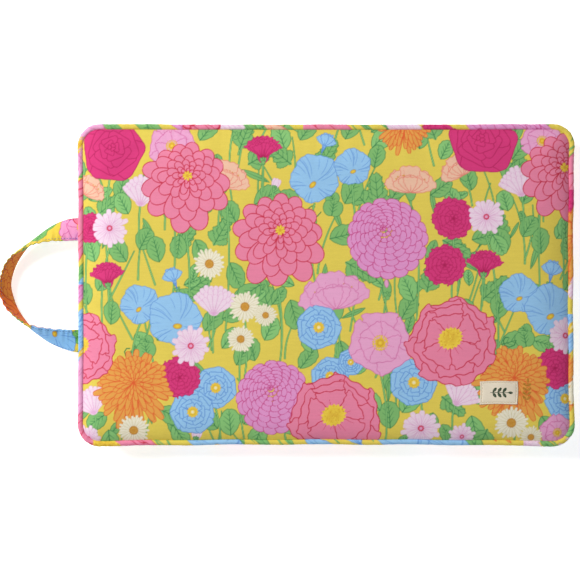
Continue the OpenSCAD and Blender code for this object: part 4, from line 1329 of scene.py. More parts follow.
# ------------------------------------------------------------------ side band and zip plackets
def strip(s0, s1, z0, z1, nx, nz, shift, seed, swell=1.5):
    """The side band along the outline from s0 to s1, swelling between its two rows of piping."""
    s = np.linspace(s0, s1, nx)
    p, d = outline_at(BAND_E, s)
    z = np.linspace(z0, z1, nz)
    t = (z - (ZB + 2.2)) / (ZT - ZB - 4.4)
    t = np.clip(t, 0, 1)
    w, w2 = waves(seed, 7, 18, 60), waves(seed + 1, 8, 4.5, 9)
    S, Zg = np.meshgrid(s, z)
    T = (t[:, None] + 0 * S)
    hug = np.sin(math.pi * T) ** 0.7
    out = swell * hug + 0.14 * w(S, Zg * 2.2) * hug
    corner = np.minimum.reduce([np.hypot(p[:, 0] - sx * (HX - CORNER), p[:, 1] - sy * (HY - CORNER)) for sx in (-1, 1) for sy in (-1, 1)])
    near = np.exp(-np.minimum(T, 1 - T) * 9)
    out = out + near * 0.16 * np.sin(S * 6.28 / 6.1 + 2 * w(S, 0 * S)) * (0.5 + np.exp(-(corner[None, :] - 17) / 30))
    out = out - 0.55 * np.clip(1 - np.minimum(S - s0, s1 - S) / 1.6, 0, 1) ** 2 * hug
    out = out + 0.12 * w2(S * 0.55, Zg * 0.25) * np.exp(-(np.maximum(corner[None, :] - 17, 0)) / 14)
    x = p[None, :, 0] + d[None, :, 0] * out
    y = p[None, :, 1] + d[None, :, 1] * out
    x, y = warp(x, y)
    P = np.stack([x, y, Zg + 0 * x], -1)
    cx = -245 + np.mod(S * 1.0 + shift, 485)
    cy = Zg * 1.0 + shift * 0.37 - 60
    return P, print_at(cx, cy)


_q = (CORNER - BAND_E) * math.pi / 2
_sx, _sy = 2 * (HX - CORNER), 2 * (HY - CORNER)
_total = 2 * _sx + 2 * _sy + 4 * _q
# the rear wall's straight run starts at this distance along the outline
rear0 = _sy / 2 + _q + _sx + _q + _sy + _q
gap_x = PLX - 0.5                         # the band's folded end laps over the placket
sa = rear0 + (HX - CORNER + gap_x)        # on the rear wall at x = -gap_x, going on round the left
sb = rear0 + (HX - CORNER - gap_x) + _total
Z0, Z1 = ZB + 2.15, ZT - 2.15
P, C = strip(sa, sb, Z0, Z1, 1721, 49, 0.0, 51)
band_cloth = shell("side_band_cloth", P, 0.85, 4, C)


def placket(name, z0, z1, fold_up, shift, seed):
    nx, nz = 689, 25
    s = np.linspace(rear0 + (HX - CORNER - PLX), rear0 + (HX - CORNER + PLX), nx)
    p, d = outline_at(BAND_E, s)
    t = np.linspace(0, 1, nz)
    z = z0 + (z1 - z0) * t
    w = waves(seed, 6, 20, 70)
    S, Zg = np.meshgrid(s, z)
    T = t[:, None] + 0 * S
    edge = T if fold_up else 1 - T          # 1 at the folded edge beside the zip
    out = 0.25 * np.sin(math.pi * np.clip(T, 0, 1)) + 0.05 * w(S, Zg)
    out = out - 0.42 * np.clip((edge - 0.93) / 0.07, 0, 1) ** 2
    stitch_at = 0.72
    out = out - 0.16 * np.exp(-((edge - stitch_at) / 0.035) ** 2)
    out = out + 0.05 * np.sin(S * 6.28 / 2.9) * np.exp(-((edge - stitch_at) / 0.12) ** 2)
    x = p[None, :, 0] + d[None, :, 0] * out
    y = p[None, :, 1] + d[None, :, 1] * out
    P = np.stack([x, y, Zg + 0 * x], -1)
    col = print_at(-245 + np.mod(S + shift, 485), Zg + shift * 0.3 - 40)
    # topstitching follows this line
    zi = z0 + (z1 - z0) * (stitch_at if fold_up else 1 - stitch_at)
    return shell(name, P, 0.85, 4, col), zi


pl_up, z_up = placket("zip_placket_upper_cloth", PLU0, Z1, False, 60.0, 61)
pl_lo, z_lo = placket("zip_placket_lower_cloth", Z0, PLL1, True, 210.0, 63)


# ------------------------------------------------------------------ thread
def tube_dash(a, b, r, up, lift=0.0, m=6, rings=5):
    """One stitch from a to b: a short round-ended thread that dips at both ends. Returns points and quads."""
    a, b, up = np.array(a, float), np.array(b, float), np.array(up, float)
    T = b - a
    L = np.linalg.norm(T)
    T = T / max(L, 1e-9)
    up = up - T * np.dot(up, T)
    up /= max(np.linalg.norm(up), 1e-9)
    side = np.cross(up, T)
    t = np.linspace(0, 1, rings)
    c = a[None] + (b - a)[None] * t[:, None] + up[None] * (lift * np.sin(math.pi * t) - 0.6 * r * (1 - np.sin(math.pi * t)))[:, None]
    rr = r * np.clip(np.sin(math.pi * (0.12 + 0.76 * t)) ** 0.5, 0.3, 1)
    th = np.linspace(0, 2 * math.pi, m, endpoint=False)
    P = c[:, None, :] + (np.cos(th)[None, :, None] * side[None, None] + np.sin(th)[None, :, None] * up[None, None] * 0.8) * rr[:, None, None]
    P = P.reshape(-1, 3)
    I = np.arange(rings * m).reshape(rings, m)
    q = np.stack([I[:-1], np.roll(I[:-1], -1, 1), np.roll(I[1:], -1, 1), I[1:]], -1).reshape(-1, 4)
    n0 = len(P)
    P = np.concatenate([P, [c[0] - T * r * 0.3, c[-1] + T * r * 0.3]])
    tri = [(I[0][(k + 1) % m], I[0][k], n0) for k in range(m)] + [(I[-1][k], I[-1][(k + 1) % m], n0 + 1) for k in range(m)]
    return P, q, np.array(tri)


def join_dashes(name, items):
    V, Q, T3, base = [], [], [], 0
    for P, q, t in items:
        V.append(P)
        Q.append(q + base)
        T3.append(t + base)
        base += len(P)
    return make_mesh(name, np.concatenate(V), [np.concatenate(Q), np.concatenate(T3)])


def placket_stitches(name, z):
    items = []
    for x in np.arange(-PLX + 2.5, PLX - 2.5, 2.9):
        j = NRNG.uniform(-0.07, 0.07)
        y = PLY + 0.14
        items.append(tube_dash((x, y, z + j), (x + 2.0, y, z + j * 0.5), 0.19, (0, 1, 0), 0.08))
    return join_dashes(name, items)


st_up = placket_stitches("zip_placket_upper_topstitch", z_up)
st_lo = placket_stitches("zip_placket_lower_topstitch", z_lo)


# ------------------------------------------------------------------ the carry strap
TAB_LO, TAB_HI = mm_box("handle_end_tabs")
JOINT = next(j for j in frame["joints"] if j["name"] == "handle_swing")
HINGE_X, HINGE_Z = JOINT["pos_m"][0] * 1000, JOINT["pos_m"][2] * 1000
STRAP_W = 21.5
STRAP_T = 2.2
SPAN = 105.0
REACH = 73.6
LEAN = 18.0
ARC_HALF = (REACH + SPAN / 2) * 0.777


def strap_centre(p):
    """Centre of the strap at p degrees: -90 at the rear end, 0 at the middle, 90 at the front end."""
    f = 1 - np.abs(p) / 90
    u = 1 - f
    t = np.minimum(1, f * ARC_HALF / 88)
    low_z = STRAP_W / 2 * math.cos(math.radians(LEAN)) + 0.7
    return np.stack([HINGE_X - REACH * (1.56 * u * u * f + 3 * u * f * f + f ** 3),
                     -SPAN / 2 * np.sign(p) * (u ** 3 + 3 * u * u * f + 1.8 * u * f * f),
                     HINGE_Z + (low_z - HINGE_Z) * (t * t * (3 - 2 * t))], -1)


def strap_tau(p):
    f = 1 - np.abs(p) / 90
    return (90 + LEAN) * np.sin(np.radians(90 * np.minimum(1, f * ARC_HALF / 88)))


def strap_frames(step=0.42):
    """Centre, along, across (inner edge to outer edge) and face directions every step mm, from one sewn end to the other."""
    p = np.concatenate([-90 * np.cos(np.radians(np.linspace(0, 180, 1600)))])
    c = strap_centre(p)
    bend = 2.0                      # radius of the fold between tab and loop
    xt = float(TAB_HI[0] + TAB_LO[0]) / 2
    def tab(sign):
        y = sign * SPAN / 2
        zt = HINGE_Z - bend
        down = [(xt, y, z) for z in np.linspace(float(TAB_LO[2]) + 0.2, zt, 24)]
        arc = [(xt - bend + bend * math.cos(a), y, zt + bend * math.sin(a)) for a in np.linspace(0, math.pi / 2, 12)[1:]]
        return np.array(down + arc)
    start, end = tab(1), tab(-1)[::-1]
    keep = c[:, 0] < xt - bend - 0.6
    c = np.concatenate([start, c[keep], end])
    ang = np.concatenate([np.zeros(len(start)), strap_tau(p)[keep], np.zeros(len(end))])
    s = np.concatenate([[0], np.cumsum(np.linalg.norm(np.diff(c, axis=0), axis=1))])
    total = s[-1]
    n = int(total / step)
    t = np.linspace(0, total, n)
    C = np.stack([np.interp(t, s, c[:, k]) for k in range(3)], -1)
    A = np.interp(t, s, ang)
    for _ in range(3):
        C[1:-1] = (C[:-2] + 2 * C[1:-1] + C[2:]) / 4
    T = np.gradient(C, axis=0)
    T /= np.linalg.norm(T, axis=1, keepdims=True)
    # plan direction across the strap, pointing out of the loop
    side = np.where(C[:, 1] > 0, 1.0, -1.0)
    out = np.stack([T[:, 1], -T[:, 0], 0 * t], -1)
    ln = np.linalg.norm(out[:, :2], axis=1)
    out = np.where((ln > 0.25)[:, None], out / np.maximum(ln, 1e-6)[:, None], np.stack([0 * t, side, 0 * t], -1))
    sgn = np.sign(np.sum(out * np.stack([-0.6 + 0 * t, side, 0 * t], -1), axis=1))
    out = out * sgn[:, None]
    ends = (np.abs(C[:, 0] - HINGE_X) < 9)
    out[ends] = np.stack([0 * t, side, 0 * t], -1)[ends]
    a = np.radians(A)[:, None]
    Wd = out * np.cos(a) + np.array([0, 0, -1.0]) * np.sin(a)
    Wd = Wd - T * np.sum(Wd * T, axis=1, keepdims=True)
    Wd /= np.linalg.norm(Wd, axis=1, keepdims=True)
    for _ in range(10):
        Wd[1:-1] = (Wd[:-2] + 2 * Wd[1:-1] + Wd[2:]) / 4
    Wd /= np.linalg.norm(Wd, axis=1, keepdims=True)
    return t, C, T, Wd, np.cross(T, Wd), total


SS, SC, ST, SW, SM, STOT = strap_frames()
# which way the face direction points: up at both ends of the loop
_i = int(np.argmin(np.abs(SC[:len(SC) // 2, 0] - (HINGE_X - 6))))
FACE = 1.0 if SM[_i, 2] > 0 else -1.0
TOPDIR = SM * FACE
WAVE_A, WAVE_B = waves(71, 7, 7, 17), waves(72, 6, 22, 60)


def strap_print(S, W, upper):
    """The two faces are cut from different places of the print."""
    ox, oy, a = STRAP_CUT[0] if upper else STRAP_CUT[1]
    q = S - STOT * (0.5 if not upper else 1.0) + (0 if not upper else 42.0)
    return ox + q * math.cos(a) - W * math.sin(a), oy + q * math.sin(a) + W * math.cos(a)


# middle of each cut on the cloth and its direction
STRAP_CUT = ((-10.0, 98.0, math.radians(320)), (-40.0, -110.0, math.radians(20)))


def make_strap():
    half, ht = STRAP_W / 2, STRAP_T / 2
    # cross-section going round: rounded edges, flat faces with a stitched line near the inner edge
    ws = np.concatenate([np.linspace(-half + 0.9, half - 0.9, 45)])
    prof = [(w, 1) for w in ws]
    prof += [(half - 0.9 + 0.9 * math.sin(a), math.cos(a)) for a in np.linspace(0, math.pi, 8)[1:-1]]
    prof += [(w, -1) for w in ws[::-1]]
    prof += [(-half + 0.9 - 0.9 * math.sin(a), -math.cos(a)) for a in np.linspace(0, math.pi, 8)[1:-1]]
    prof = np.array(prof)
    n, m = len(SC), len(prof)
    W = prof[:, 0][None, :] + 0 * SS[:, None]
    F = prof[:, 1][None, :] + 0 * SS[:, None]
    S = SS[:, None] + 0 * W
    on_loop = np.clip((HINGE_X - 1.5 - SC[:, 0]) / 14, 0, 1)[:, None]
    # inner edge shortened by its stitching: puckers that die out across the width
    inner = np.exp(-(W + half) / 6.5)
    puck = 0.60 * np.sin(S * 6.28 / 6.2 + 2.2 * WAVE_B(S, 0 * S)) + 0.30 * WAVE_A(S, W * 0.35)
    thin = 1 - 0.45 * np.abs(W / half) ** 6          # the folded edges are pressed thinner than the middle
    h = ht * F * thin
    line = np.exp(-((W + half - 1.9) / 0.42) ** 2) + 0.7 * np.exp(-((W - half + 1.9) / 0.42) ** 2)
    dent = -0.24 * line * (0.75 + 0.25 * np.sin(S * 6.28 / 2.7))
    puff = 0.22 * np.cos(np.clip(W / half, -1, 1) * 1.5708) * (np.abs(F) > 0.9)
    h = h + np.sign(F) * (dent + puff) * (np.abs(F) > 0.9)
    h = h + on_loop * (puck * inner * 0.8 + 0.30 * WAVE_B(S, W * 0.8) * np.clip(np.abs(W) / half, 0, 1))
    curl = on_loop * 0.55 * (W / half) ** 2
    w_edge = W + on_loop * 0.22 * np.sign(W) * WAVE_B(S * 1.3, 5 + 0 * S) * (np.abs(W) / half) ** 4
    P = SC[:, None, :] + SW[:, None, :] * w_edge[..., None] + TOPDIR[:, None, :] * (h - curl * 0.6)[..., None]
    P[..., 2] = np.maximum(P[..., 2], 0.25)
    ax, ay = strap_print(S, W, True)
    bx2, by2 = strap_print(S, W, False)
    inside = print_at(bx2, by2)                       # the inner face is cut where the same flowers are printed in orange
    pink = (np.clip((inside[..., 2] - 0.6 * inside[..., 1]) / 0.08, 0, 1) * (inside[..., 0] > inside[..., 2] * 1.02))[..., None]
    inside = inside * (1 - pink) + inside * np.array([0.98, 1.02, 0.32]) * pink
    # the print is darkened and deepened by a power of 1.22: painted shade, so the strap reads darker than the same
    # cloth on the pad
    col = np.where((F >= 0)[..., None], print_at(ax, ay), inside) ** 1.22
    if FACE > 0:
        P, col = P[:, ::-1], col[:, ::-1]
    return ring_sweep("handle_strap", P, col, closed=False)


strap = make_strap()


def make_lining():
    """Stiff strip folded inside the loop: it follows the strap's own ripples."""
    keep = SC[:, 0] < HINGE_X - 4.5
    half = STRAP_W / 2
    wide = half - 3.4
    w = np.concatenate([np.linspace(-wide, wide, 25), np.linspace(wide, -wide, 25)])
    f = np.concatenate([np.ones(25), -np.ones(25)])
    S = SS[keep][:, None] + 0 * w[None]
    W, F = w[None] + 0 * S, f[None] + 0 * S
    on = np.clip((HINGE_X - 1.5 - SC[keep][:, 0]) / 14, 0, 1)[:, None]
    puck = 0.60 * np.sin(S * 6.28 / 6.2 + 2.2 * WAVE_B(S, 0 * S)) + 0.30 * WAVE_A(S, W * 0.35)
    h = 0.26 * F + on * (puck * np.exp(-(W + half) / 6.5) * 0.8 + 0.30 * WAVE_B(S, W * 0.8) * np.abs(W) / half - 0.33 * (W / half) ** 2)
    P = SC[keep][:, None, :] + SW[keep][:, None, :] * W[..., None] + TOPDIR[keep][:, None, :] * h[..., None]
    P[..., 2] = np.maximum(P[..., 2], 0.7)
    return ring_sweep("handle_lining_strip", P, None, closed=False)


strap_lining = make_lining()
# a strap that came out inside-out is turned the right way
import bmesh
for _ob in (strap, strap_lining, top_pipe, base_pipe, top_cord, base_cord):
    bm = bmesh.new()
    bm.from_mesh(_ob.data)
    vol = bm.calc_volume(signed=True)
    if vol < 0:
        bmesh.ops.reverse_faces(bm, faces=bm.faces[:])
        bm.to_mesh(_ob.data)
    bm.free()


def strap_stitches():
    items = []
    half = STRAP_W / 2
    pitch = 2.9
    k = 0
    inloop = SC[:, 0] < HINGE_X - 2.0
    s0, s1 = SS[inloop][0] + 1.0, SS[inloop][-1] - 3.0
    for s in np.arange(s0, s1, pitch):
        for edge in (-1, 1):
            for face in (-1, 1):
                i = int(np.searchsorted(SS, s))
                j = min(int(np.searchsorted(SS, s + 2.05)), len(SS) - 1)
                w = edge * (half - 1.9) + NRNG.uniform(-0.06, 0.06)
                on = min(1.0, max(0.0, (HINGE_X - 1.5 - SC[i, 0]) / 14))
                pts = []
                for q in (i, j):
                    S1 = SS[q]
                    inner = math.exp(-(w + half) / 6.5)
                    puck = 0.60 * math.sin(S1 * 6.28 / 6.2 + 2.2 * float(WAVE_B(S1, 0.0))) + 0.30 * float(WAVE_A(S1, w * 0.35))
                    hh = face * (STRAP_T / 2 * (1 - 0.45 * abs(w / half) ** 6) - 0.12) + on * (puck * inner * 0.8 + 0.30 * float(WAVE_B(S1, w * 0.8)) * abs(w) / half)
                    hh -= on * 0.55 * (w / half) ** 2 * 0.6
                    pts.append(SC[q] + SW[q] * w + TOPDIR[q] * hh)
                items.append(tube_dash(pts[0], pts[1], 0.28, TOPDIR[i] * face, 0.10))
    # a stitched box with a cross on each sewn-down end
    x = float(TAB_LO[0]) - 0.02
    z0, z1 = float(TAB_LO[2]) + 1.5, float(TAB_HI[2]) - 1.6
    for sgn in (-1, 1):
        yc = sgn * SPAN / 2
        w = half - 2.0
        corners = [(yc - w, z0), (yc + w, z0), (yc + w, z1), (yc - w, z1)]
        runs = [(corners[i], corners[(i + 1) % 4]) for i in range(4)] + [(corners[0], corners[2]), (corners[1], corners[3])]
        for a, b in runs:
            a, b = np.array(a), np.array(b)
            L = np.linalg.norm(b - a)
            nst = max(2, int(L / 2.6))
            for q in range(nst):
                f0, f1 = (q + 0.12) / nst, (q + 0.88) / nst
                p0, p1 = a + (b - a) * f0, a + (b - a) * f1
                items.append(tube_dash((x, p0[0], p0[1]), (x, p1[0], p1[1]), 0.22, (-1, 0, 0), 0.09))
    return join_dashes("handle_stitching", items)


strap_thread = strap_stitches()


# ------------------------------------------------------------------ label and embroidery
_lo, _hi = mm_box("label_patch")
LBX, LBY = float(_lo[0] + _hi[0]) / 2, float(_lo[1] + _hi[1]) / 2
LBL, LBW, LBR = 35.0, 21.5, math.radians(1.6)


def on_label(u, v):
    """Plan position of a label point u, v mm from its middle: slightly skewed, as sewn by hand."""
    u2 = u + 0.022 * v + 0.38 * np.sin(v / 5.0 + 1)
    v2 = v - 0.018 * u + 0.34 * np.sin(u / 7.0 + 2)
    return LBX + u2 * math.cos(LBR) - v2 * math.sin(LBR), LBY + u2 * math.sin(LBR) + v2 * math.cos(LBR)


LW = waves(91, 7, 9, 20)


def label_height(u, v):
    """Height of the label's face above the cover: pressed down along its stitching, full in the middle."""
    eu, ev = LBL / 2 - np.abs(u), LBW / 2 - np.abs(v)
    e = np.minimum(eu, ev)
    h = 0.62 + 0.16 * np.clip(e / 5, 0, 1) + 0.10 * LW(u, v) * np.clip(e / 3, 0.25, 1)
    h = h - 0.30 * np.exp(-((e - 1.75) / 0.5) ** 2)
    h = h + 0.07 * np.sin(np.where(eu < ev, v, u) * 6.28 / 2.9) * np.exp(-((e - 1.2) / 1.2) ** 2)
    return h - 0.30 * np.clip(1 - e / 0.35, 0, 1) ** 2


def label_point(u, v, up=0.0):
    x, y = on_label(np.asarray(u, float), np.asarray(v, float))
    return np.stack([x, y, top_z(x, y) + label_height(u, v) + up], -1)


U, V = np.meshgrid(np.linspace(-LBL / 2, LBL / 2, 97), np.linspace(-LBW / 2, LBW / 2, 61))
P = label_point(U, V)
tone = 0.97 + 0.03 * LW(U * 0.5, V * 0.5)
# darker within 0.8 mm of the edge, where the label turns down to the cover: painted shade
edge_shade = 1 - 0.10 * np.clip(1 - np.minimum(LBL / 2 - np.abs(U), LBW / 2 - np.abs(V)) / 0.8, 0, 1)
LCOL = srgb(250, 238, 216)[None, None] * (tone * edge_shade)[..., None]
label = shell("label_cloth", P, 0.42, 4, LCOL)

items = []
inset = 1.75
for a0, a1, vert, fixed in ((-LBL / 2 + inset, LBL / 2 - inset, False, -LBW / 2 + inset), (-LBL / 2 + inset, LBL / 2 - inset, False, LBW / 2 - inset),
                            (-LBW / 2 + inset, LBW / 2 - inset, True, -LBL / 2 + inset), (-LBW / 2 + inset, LBW / 2 - inset, True, LBL / 2 - inset)):
    nst = int((a1 - a0) / 2.75)
    for q in range(nst):
        f0, f1 = (q + 0.14) / nst, (q + 0.84) / nst
        c0, c1 = a0 + (a1 - a0) * f0, a0 + (a1 - a0) * f1
        j = NRNG.uniform(-0.06, 0.06)
        e0, e1 = ((fixed + j, c0), (fixed + j, c1)) if vert else ((c0, fixed + j), (c1, fixed + j))
        items.append(tube_dash(label_point(*e0, up=0.06), label_point(*e1, up=0.06), 0.19, (0, 0, 1), 0.07))
label_thread = join_dashes("label_stitches", items)


def satin_leaf(items, at, x, y, ang, L, wd, r=0.17, pitch=0.30, up=0.05):
    """A leaf filled with slanting threads either side of its rib."""
    ca, sa = math.cos(ang), math.sin(ang)
    n = max(4, int(L / pitch))
    for k in range(n):
        u = (k + 0.5) / n
        w = wd * math.sin(math.pi * min(1, u ** 0.85)) ** 0.8 + 0.12
        for s in (-1, 1):
            ru = (u - 0.07) * L
            eu = min(L * 0.99, (u + 0.10) * L)
            p0 = (x + ca * ru, y + sa * ru)
            p1 = (x + ca * eu - sa * s * w, y + sa * eu + ca * s * w)
            j = NRNG.uniform(-0.05, 0.05)
            items.append(tube_dash(at(p0[0], p0[1], up + j * 0.3), at(p1[0] + j, p1[1] + j, up - 0.03), r, (0, 0, 1), 0.13, m=5, rings=4))


def satin_stem(items, at, x0, y0, x1, y1, r=0.22, up=0.08, bow=0.0):
    L = math.hypot(x1 - x0, y1 - y0)
    n = int(L / 0.9)
    for k in range(n):
        f0, f1 = k / n, min(1, (k + 1.9) / n)
        b0, b1 = bow * math.sin(math.pi * f0), bow * math.sin(math.pi * f1)
        px, py = -(y1 - y0) / L, (x1 - x0) / L
        a = (x0 + (x1 - x0) * f0 + px * (b0 - 0.10), y0 + (y1 - y0) * f0 + py * (b0 - 0.10))
        b = (x0 + (x1 - x0) * f1 + px * (b1 + 0.10), y0 + (y1 - y0) * f1 + py * (b1 + 0.10))
        items.append(tube_dash(at(*a, up), at(*b, up), r, (0, 0, 1), 0.05, m=5, rings=4))


items = []
lab = lambda u, v, up: label_point(u, v, up)
satin_stem(items, lab, -8.6, 0, 8.4, 0)
for k in range(3):
    for s in (-1, 1):
        satin_leaf(items, lab, -6.0 + 4.6 * k, s * 0.35, s * math.radians(50), 5.2, 1.25)
satin_leaf(items, lab, 8.0, 0, 0.0, 4.4, 1.15)
emblem = join_dashes("label_emblem_embroidery", items)

_lo, _hi = mm_box("embroidered_sprig")
SPX, SPY = float(_lo[0] + _hi[0]) / 2, float(_lo[1] + _hi[1]) / 2


def on_top(u, v, up):
    a = math.radians(87)
    x, y = SPX + u * math.cos(a) - v * math.sin(a), SPY + u * math.sin(a) + v * math.cos(a)
    return np.array([x, y, float(top_z(x, y)) + up])


items = []
satin_stem(items, on_top, -11.2, 0.4, 8.2, 0, up=0.10, bow=0.7)
for k in range(4):
    for s in (-1, 1):
        satin_leaf(items, on_top, -7.8 + 4.2 * k, s * 0.35 + 0.4, s * math.radians(46 + 3 * k), 4.7 - 0.25 * k, 1.12, up=0.10)
satin_leaf(items, on_top, 8.0, 0, 0.0, 3.9, 1.0, up=0.10)
sprig = join_dashes("embroidered_sprig_gold", items)


# ------------------------------------------------------------------ the filling
def fill_form():
    if form is None:
        verts, faces = rounded_box(8.5, 1.3, ZT + 3, 6.0)
        me = bpy.data.meshes.new("foam_filling")
        me.from_pydata([Vector(v) / 1000 for v in verts], [], faces)
        ob = bpy.data.objects.new("foam_filling", me)
        bpy.context.scene.collection.objects.link(ob)
        return ob
    form.name = "foam_filling"
    sub = form.modifiers.new("smooth", "SUBSURF")
    sub.levels = sub.render_levels = 1
    bpy.context.view_layer.objects.active = form
    form.select_set(True)
    bpy.ops.object.modifier_apply(modifier="smooth")
    me = form.data
    co = np.zeros(len(me.vertices) * 3)
    me.vertices.foreach_get("co", co)
    co = co.reshape(-1, 3) * 1000
    x, y, z = co.T
    x = np.clip(x, -(HX - 7.2), HX - 7.4)
    y = np.clip(y, -(HY - 7.6), HY - 8.8)
    r = CORNER - 7.6
    cx, cy = HX - 7.6 - r, HY - 7.6 - r
    dx, dy = np.maximum(np.abs(x) - cx, 0), np.maximum(np.abs(y) - cy, 0)
    q = np.hypot(dx, dy)
    k = np.where((q > r) & (dx > 0) & (dy > 0), r / np.maximum(q, 1e-6), 1.0)
    x = np.where(dx > 0, np.sign(x) * (cx + dx * k), x)
    y = np.where(dy > 0, np.sign(y) * (cy + dy * k), y)
    e = np.minimum(HX - np.abs(x), HY - np.abs(y))
    hi = np.where(e < 13.5, ZT - 0.9, top_z(x, y) - 1.5)
    lo = np.where(e < 13.5, ZB + 0.9, 1.25)
    z = np.clip(z, lo, hi)
    co = np.stack([x, y, z], -1)
    me.vertices.foreach_set("co", (co / 1000).astype(np.float32).ravel())
    me.update()
    return form


foam = fill_form()

# ------------------------------------------------------------------ finishes
flat_cloth = cloth_material("cover_cloth_flat", "xy", sheen=0.10)
front_cloth = cloth_material("cover_cloth_side", "xz", turn=0.0, sheen=0.10)
roll_cloth = cloth_material("cover_cloth_bias", "xy", turn=math.pi / 4, sheen=0.06, bump=0.26, puck=0.1)
strap_cloth = cloth_material("cover_cloth_strap", "xy", turn=0.3, sheen=0.05, bump=0.26, puck=0.08)
label_twill = cloth_material("label_twill", "xy", pitch=0.62, turn=0.4, rough=0.88, sheen=0.08, bump=0.35, shade=0.06, twill=True)
tape_cloth = cloth_material("zip_tape_weave", "xz", pitch=0.8, colour=srgb(214, 186, 84), rough=0.8, sheen=0.2, bump=0.4, shade=0.12, twill=True)
lining = cloth_material("nonwoven_lining", "xy", pitch=1.4, colour=srgb(232, 230, 222), rough=0.95, sheen=0.05, bump=0.3, shade=0.10)
cord_mat = thread_material("cotton_cord", srgb(232, 226, 208), sheen=0.3, rough=0.8, twist=260.0)
blue_thread = thread_material("blue_violet_thread", srgb(66, 76, 158), sheen=0.12, rough=0.55)
yellow_thread = thread_material("yellow_thread", srgb(222, 196, 90), sheen=0.4, rough=0.5)
cream_thread = thread_material("cream_thread", srgb(206, 186, 146), sheen=0.1, rough=0.6)
green_thread = thread_material("dark_green_thread", srgb(40, 72, 40), sheen=0.12, rough=0.5)
gold_thread = thread_material("gold_thread", srgb(206, 146, 46), sheen=0.05, rough=0.42)
nickel = metal_material("nickel_plate", (0.62, 0.61, 0.58))
teeth = plastic_material("moulded_teeth", srgb(226, 208, 150))
foam_mat = foam_material("open_cell_foam")

for ob, mat, node_names, slot in (
        (top_cloth, flat_cloth, ("top_panel",), "printed_cover"),
        (base_cloth, flat_cloth, ("base_panel",), "printed_cover"),
        (band_cloth, front_cloth, ("side_band",), "printed_cover"),
        (pl_up, front_cloth, ("zip_placket_upper",), "printed_cover"),
        (pl_lo, front_cloth, ("zip_placket_lower",), "printed_cover"),
        (top_pipe, roll_cloth, ("top_piping_cover",), "printed_cover"),
        (base_pipe, roll_cloth, ("base_piping_cover",), "printed_cover"),
        (top_cord, cord_mat, ("top_piping_cord",), "cord"),
        (base_cord, cord_mat, ("base_piping_cord",), "cord"),
        (label, label_twill, ("label_patch",), "label_cloth"),
        (label_thread, cream_thread, ("label_stitching",), "label_thread"),
        (emblem, green_thread, ("label_emblem",), "emblem_thread"),
        (sprig, gold_thread, ("embroidered_sprig",), "gold_thread"),
        (foam, foam_mat, ("foam_core",), "foam"),
        (st_up, yellow_thread, (), "printed_cover"),
        (st_lo, yellow_thread, (), "printed_cover")):
    wear(ob, mat)
    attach(ob, "pad")
    if node_names:
        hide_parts(*node_names)

wear(strap, strap_cloth)
wear(strap_thread, blue_thread)
for ob, names, slot in ((strap, ("handle_loop", "handle_end_tabs"), "printed_cover"),
                        (strap_thread, ("handle_edge_stitching", "handle_box_stitching"), "handle_thread")):
    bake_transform(ob)
    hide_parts(*names)

wear(strap_lining, lining)
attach(strap_lining, "handle")
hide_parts("handle_interlining")

for name, mat in (("zip_tape_upper", tape_cloth), ("zip_tape_lower", tape_cloth), ("zip_teeth_upper", teeth), ("zip_teeth_lower", teeth),
                  ("zip_end_stops", nickel), ("zip_slider", nickel), ("zip_pull", nickel), ("handle_backing_patches", lining)):
    ob = frame["nodes"][name]
    if not ob.material_slots:
        ob.data.materials.append(mat)
    for s in ob.material_slots:
        s.material = mat

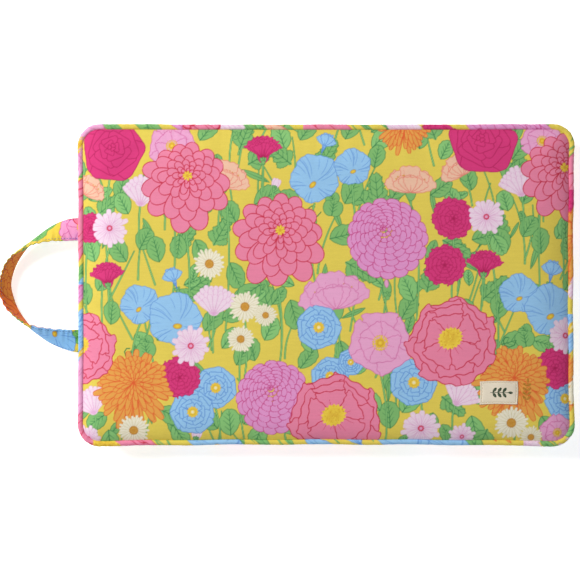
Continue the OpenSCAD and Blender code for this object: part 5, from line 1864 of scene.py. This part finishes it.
# ------------------------------------------------------------------ floor, light, camera
bpy.ops.mesh.primitive_plane_add(size=14, location=(0, 0, 0))
floor = bpy.context.object
floor.name = "floor"
fm, fnt, fb = nodes_of("pale_floor")
fz = N(fnt, "ShaderNodeTexNoise", Scale=3.0, Detail=2.0)
fr = N(fnt, "ShaderNodeMix", data_type="RGBA")
fnt.links.new(fz.outputs[0], fr.inputs[0])
fr.inputs[6].default_value = (0.90, 0.90, 0.90, 1)
fr.inputs[7].default_value = (0.93, 0.93, 0.93, 1)
fnt.links.new(fr.outputs[2], fb.inputs["Base Color"])
fb.inputs["Roughness"].default_value = 0.9
fb.inputs["Specular IOR Level"].default_value = 0.1
fb.inputs["Emission Color"].default_value = (1, 1, 1, 1)
fb.inputs["Emission Strength"].default_value = 0.63
wear(floor, fm)

world = bpy.data.worlds.new("studio")
bpy.context.scene.world = world
world.use_nodes = True
wt = world.node_tree
wt.nodes["Background"].inputs[0].default_value = (1.0, 1.0, 1.0, 1)
wt.nodes["Background"].inputs[1].default_value = 0.27
seen = wt.nodes.new("ShaderNodeBackground")          # what the camera sees past the floor
seen.inputs[0].default_value = (0.90, 0.90, 0.90, 1)
path = wt.nodes.new("ShaderNodeLightPath")
pick = wt.nodes.new("ShaderNodeMixShader")
wt.links.new(path.outputs["Is Camera Ray"], pick.inputs[0])
wt.links.new(wt.nodes["Background"].outputs[0], pick.inputs[1])
wt.links.new(seen.outputs[0], pick.inputs[2])
wt.links.new(pick.outputs[0], wt.nodes["World Output"].inputs[0])


def area(name, loc, size, power, target=(0, 0, 0.02), colour=(1, 1, 1)):
    d = bpy.data.lights.new(name, "AREA")
    d.shape = "DISK"
    d.size = size
    d.energy = power
    d.color = colour
    o = bpy.data.objects.new(name, d)
    bpy.context.scene.collection.objects.link(o)
    o.location = loc
    o.rotation_mode = "QUATERNION"
    o.rotation_quaternion = (Vector(target) - Vector(loc)).to_track_quat("-Z", "Y")
    return o


area("key", (-1.30, 0.66, 1.42), 0.7, 37.0, colour=(1.0, 0.985, 0.96))
area("fill", (1.3, -0.5, 1.7), 1.6, 2.5, colour=(0.96, 0.98, 1.0))

cam_data = bpy.data.cameras.new("camera")
cam = bpy.data.objects.new("camera", cam_data)
bpy.context.scene.collection.objects.link(cam)
VIEW_MM = 0.9272            # millimetres to a pixel at the height of the piping
DIST = 1.25
cam.location = (-0.0334, -0.0070, ZT / 1000 + DIST)
cam.rotation_euler = (0, 0, 0)
cam_data.sensor_width = 36.0
cam_data.lens = 36.0 * DIST * 1000 / (585 * VIEW_MM)
cam_data.clip_start, cam_data.clip_end = 0.01, 50
bpy.context.scene.camera = cam
bpy.context.scene.view_settings.view_transform = "Standard"
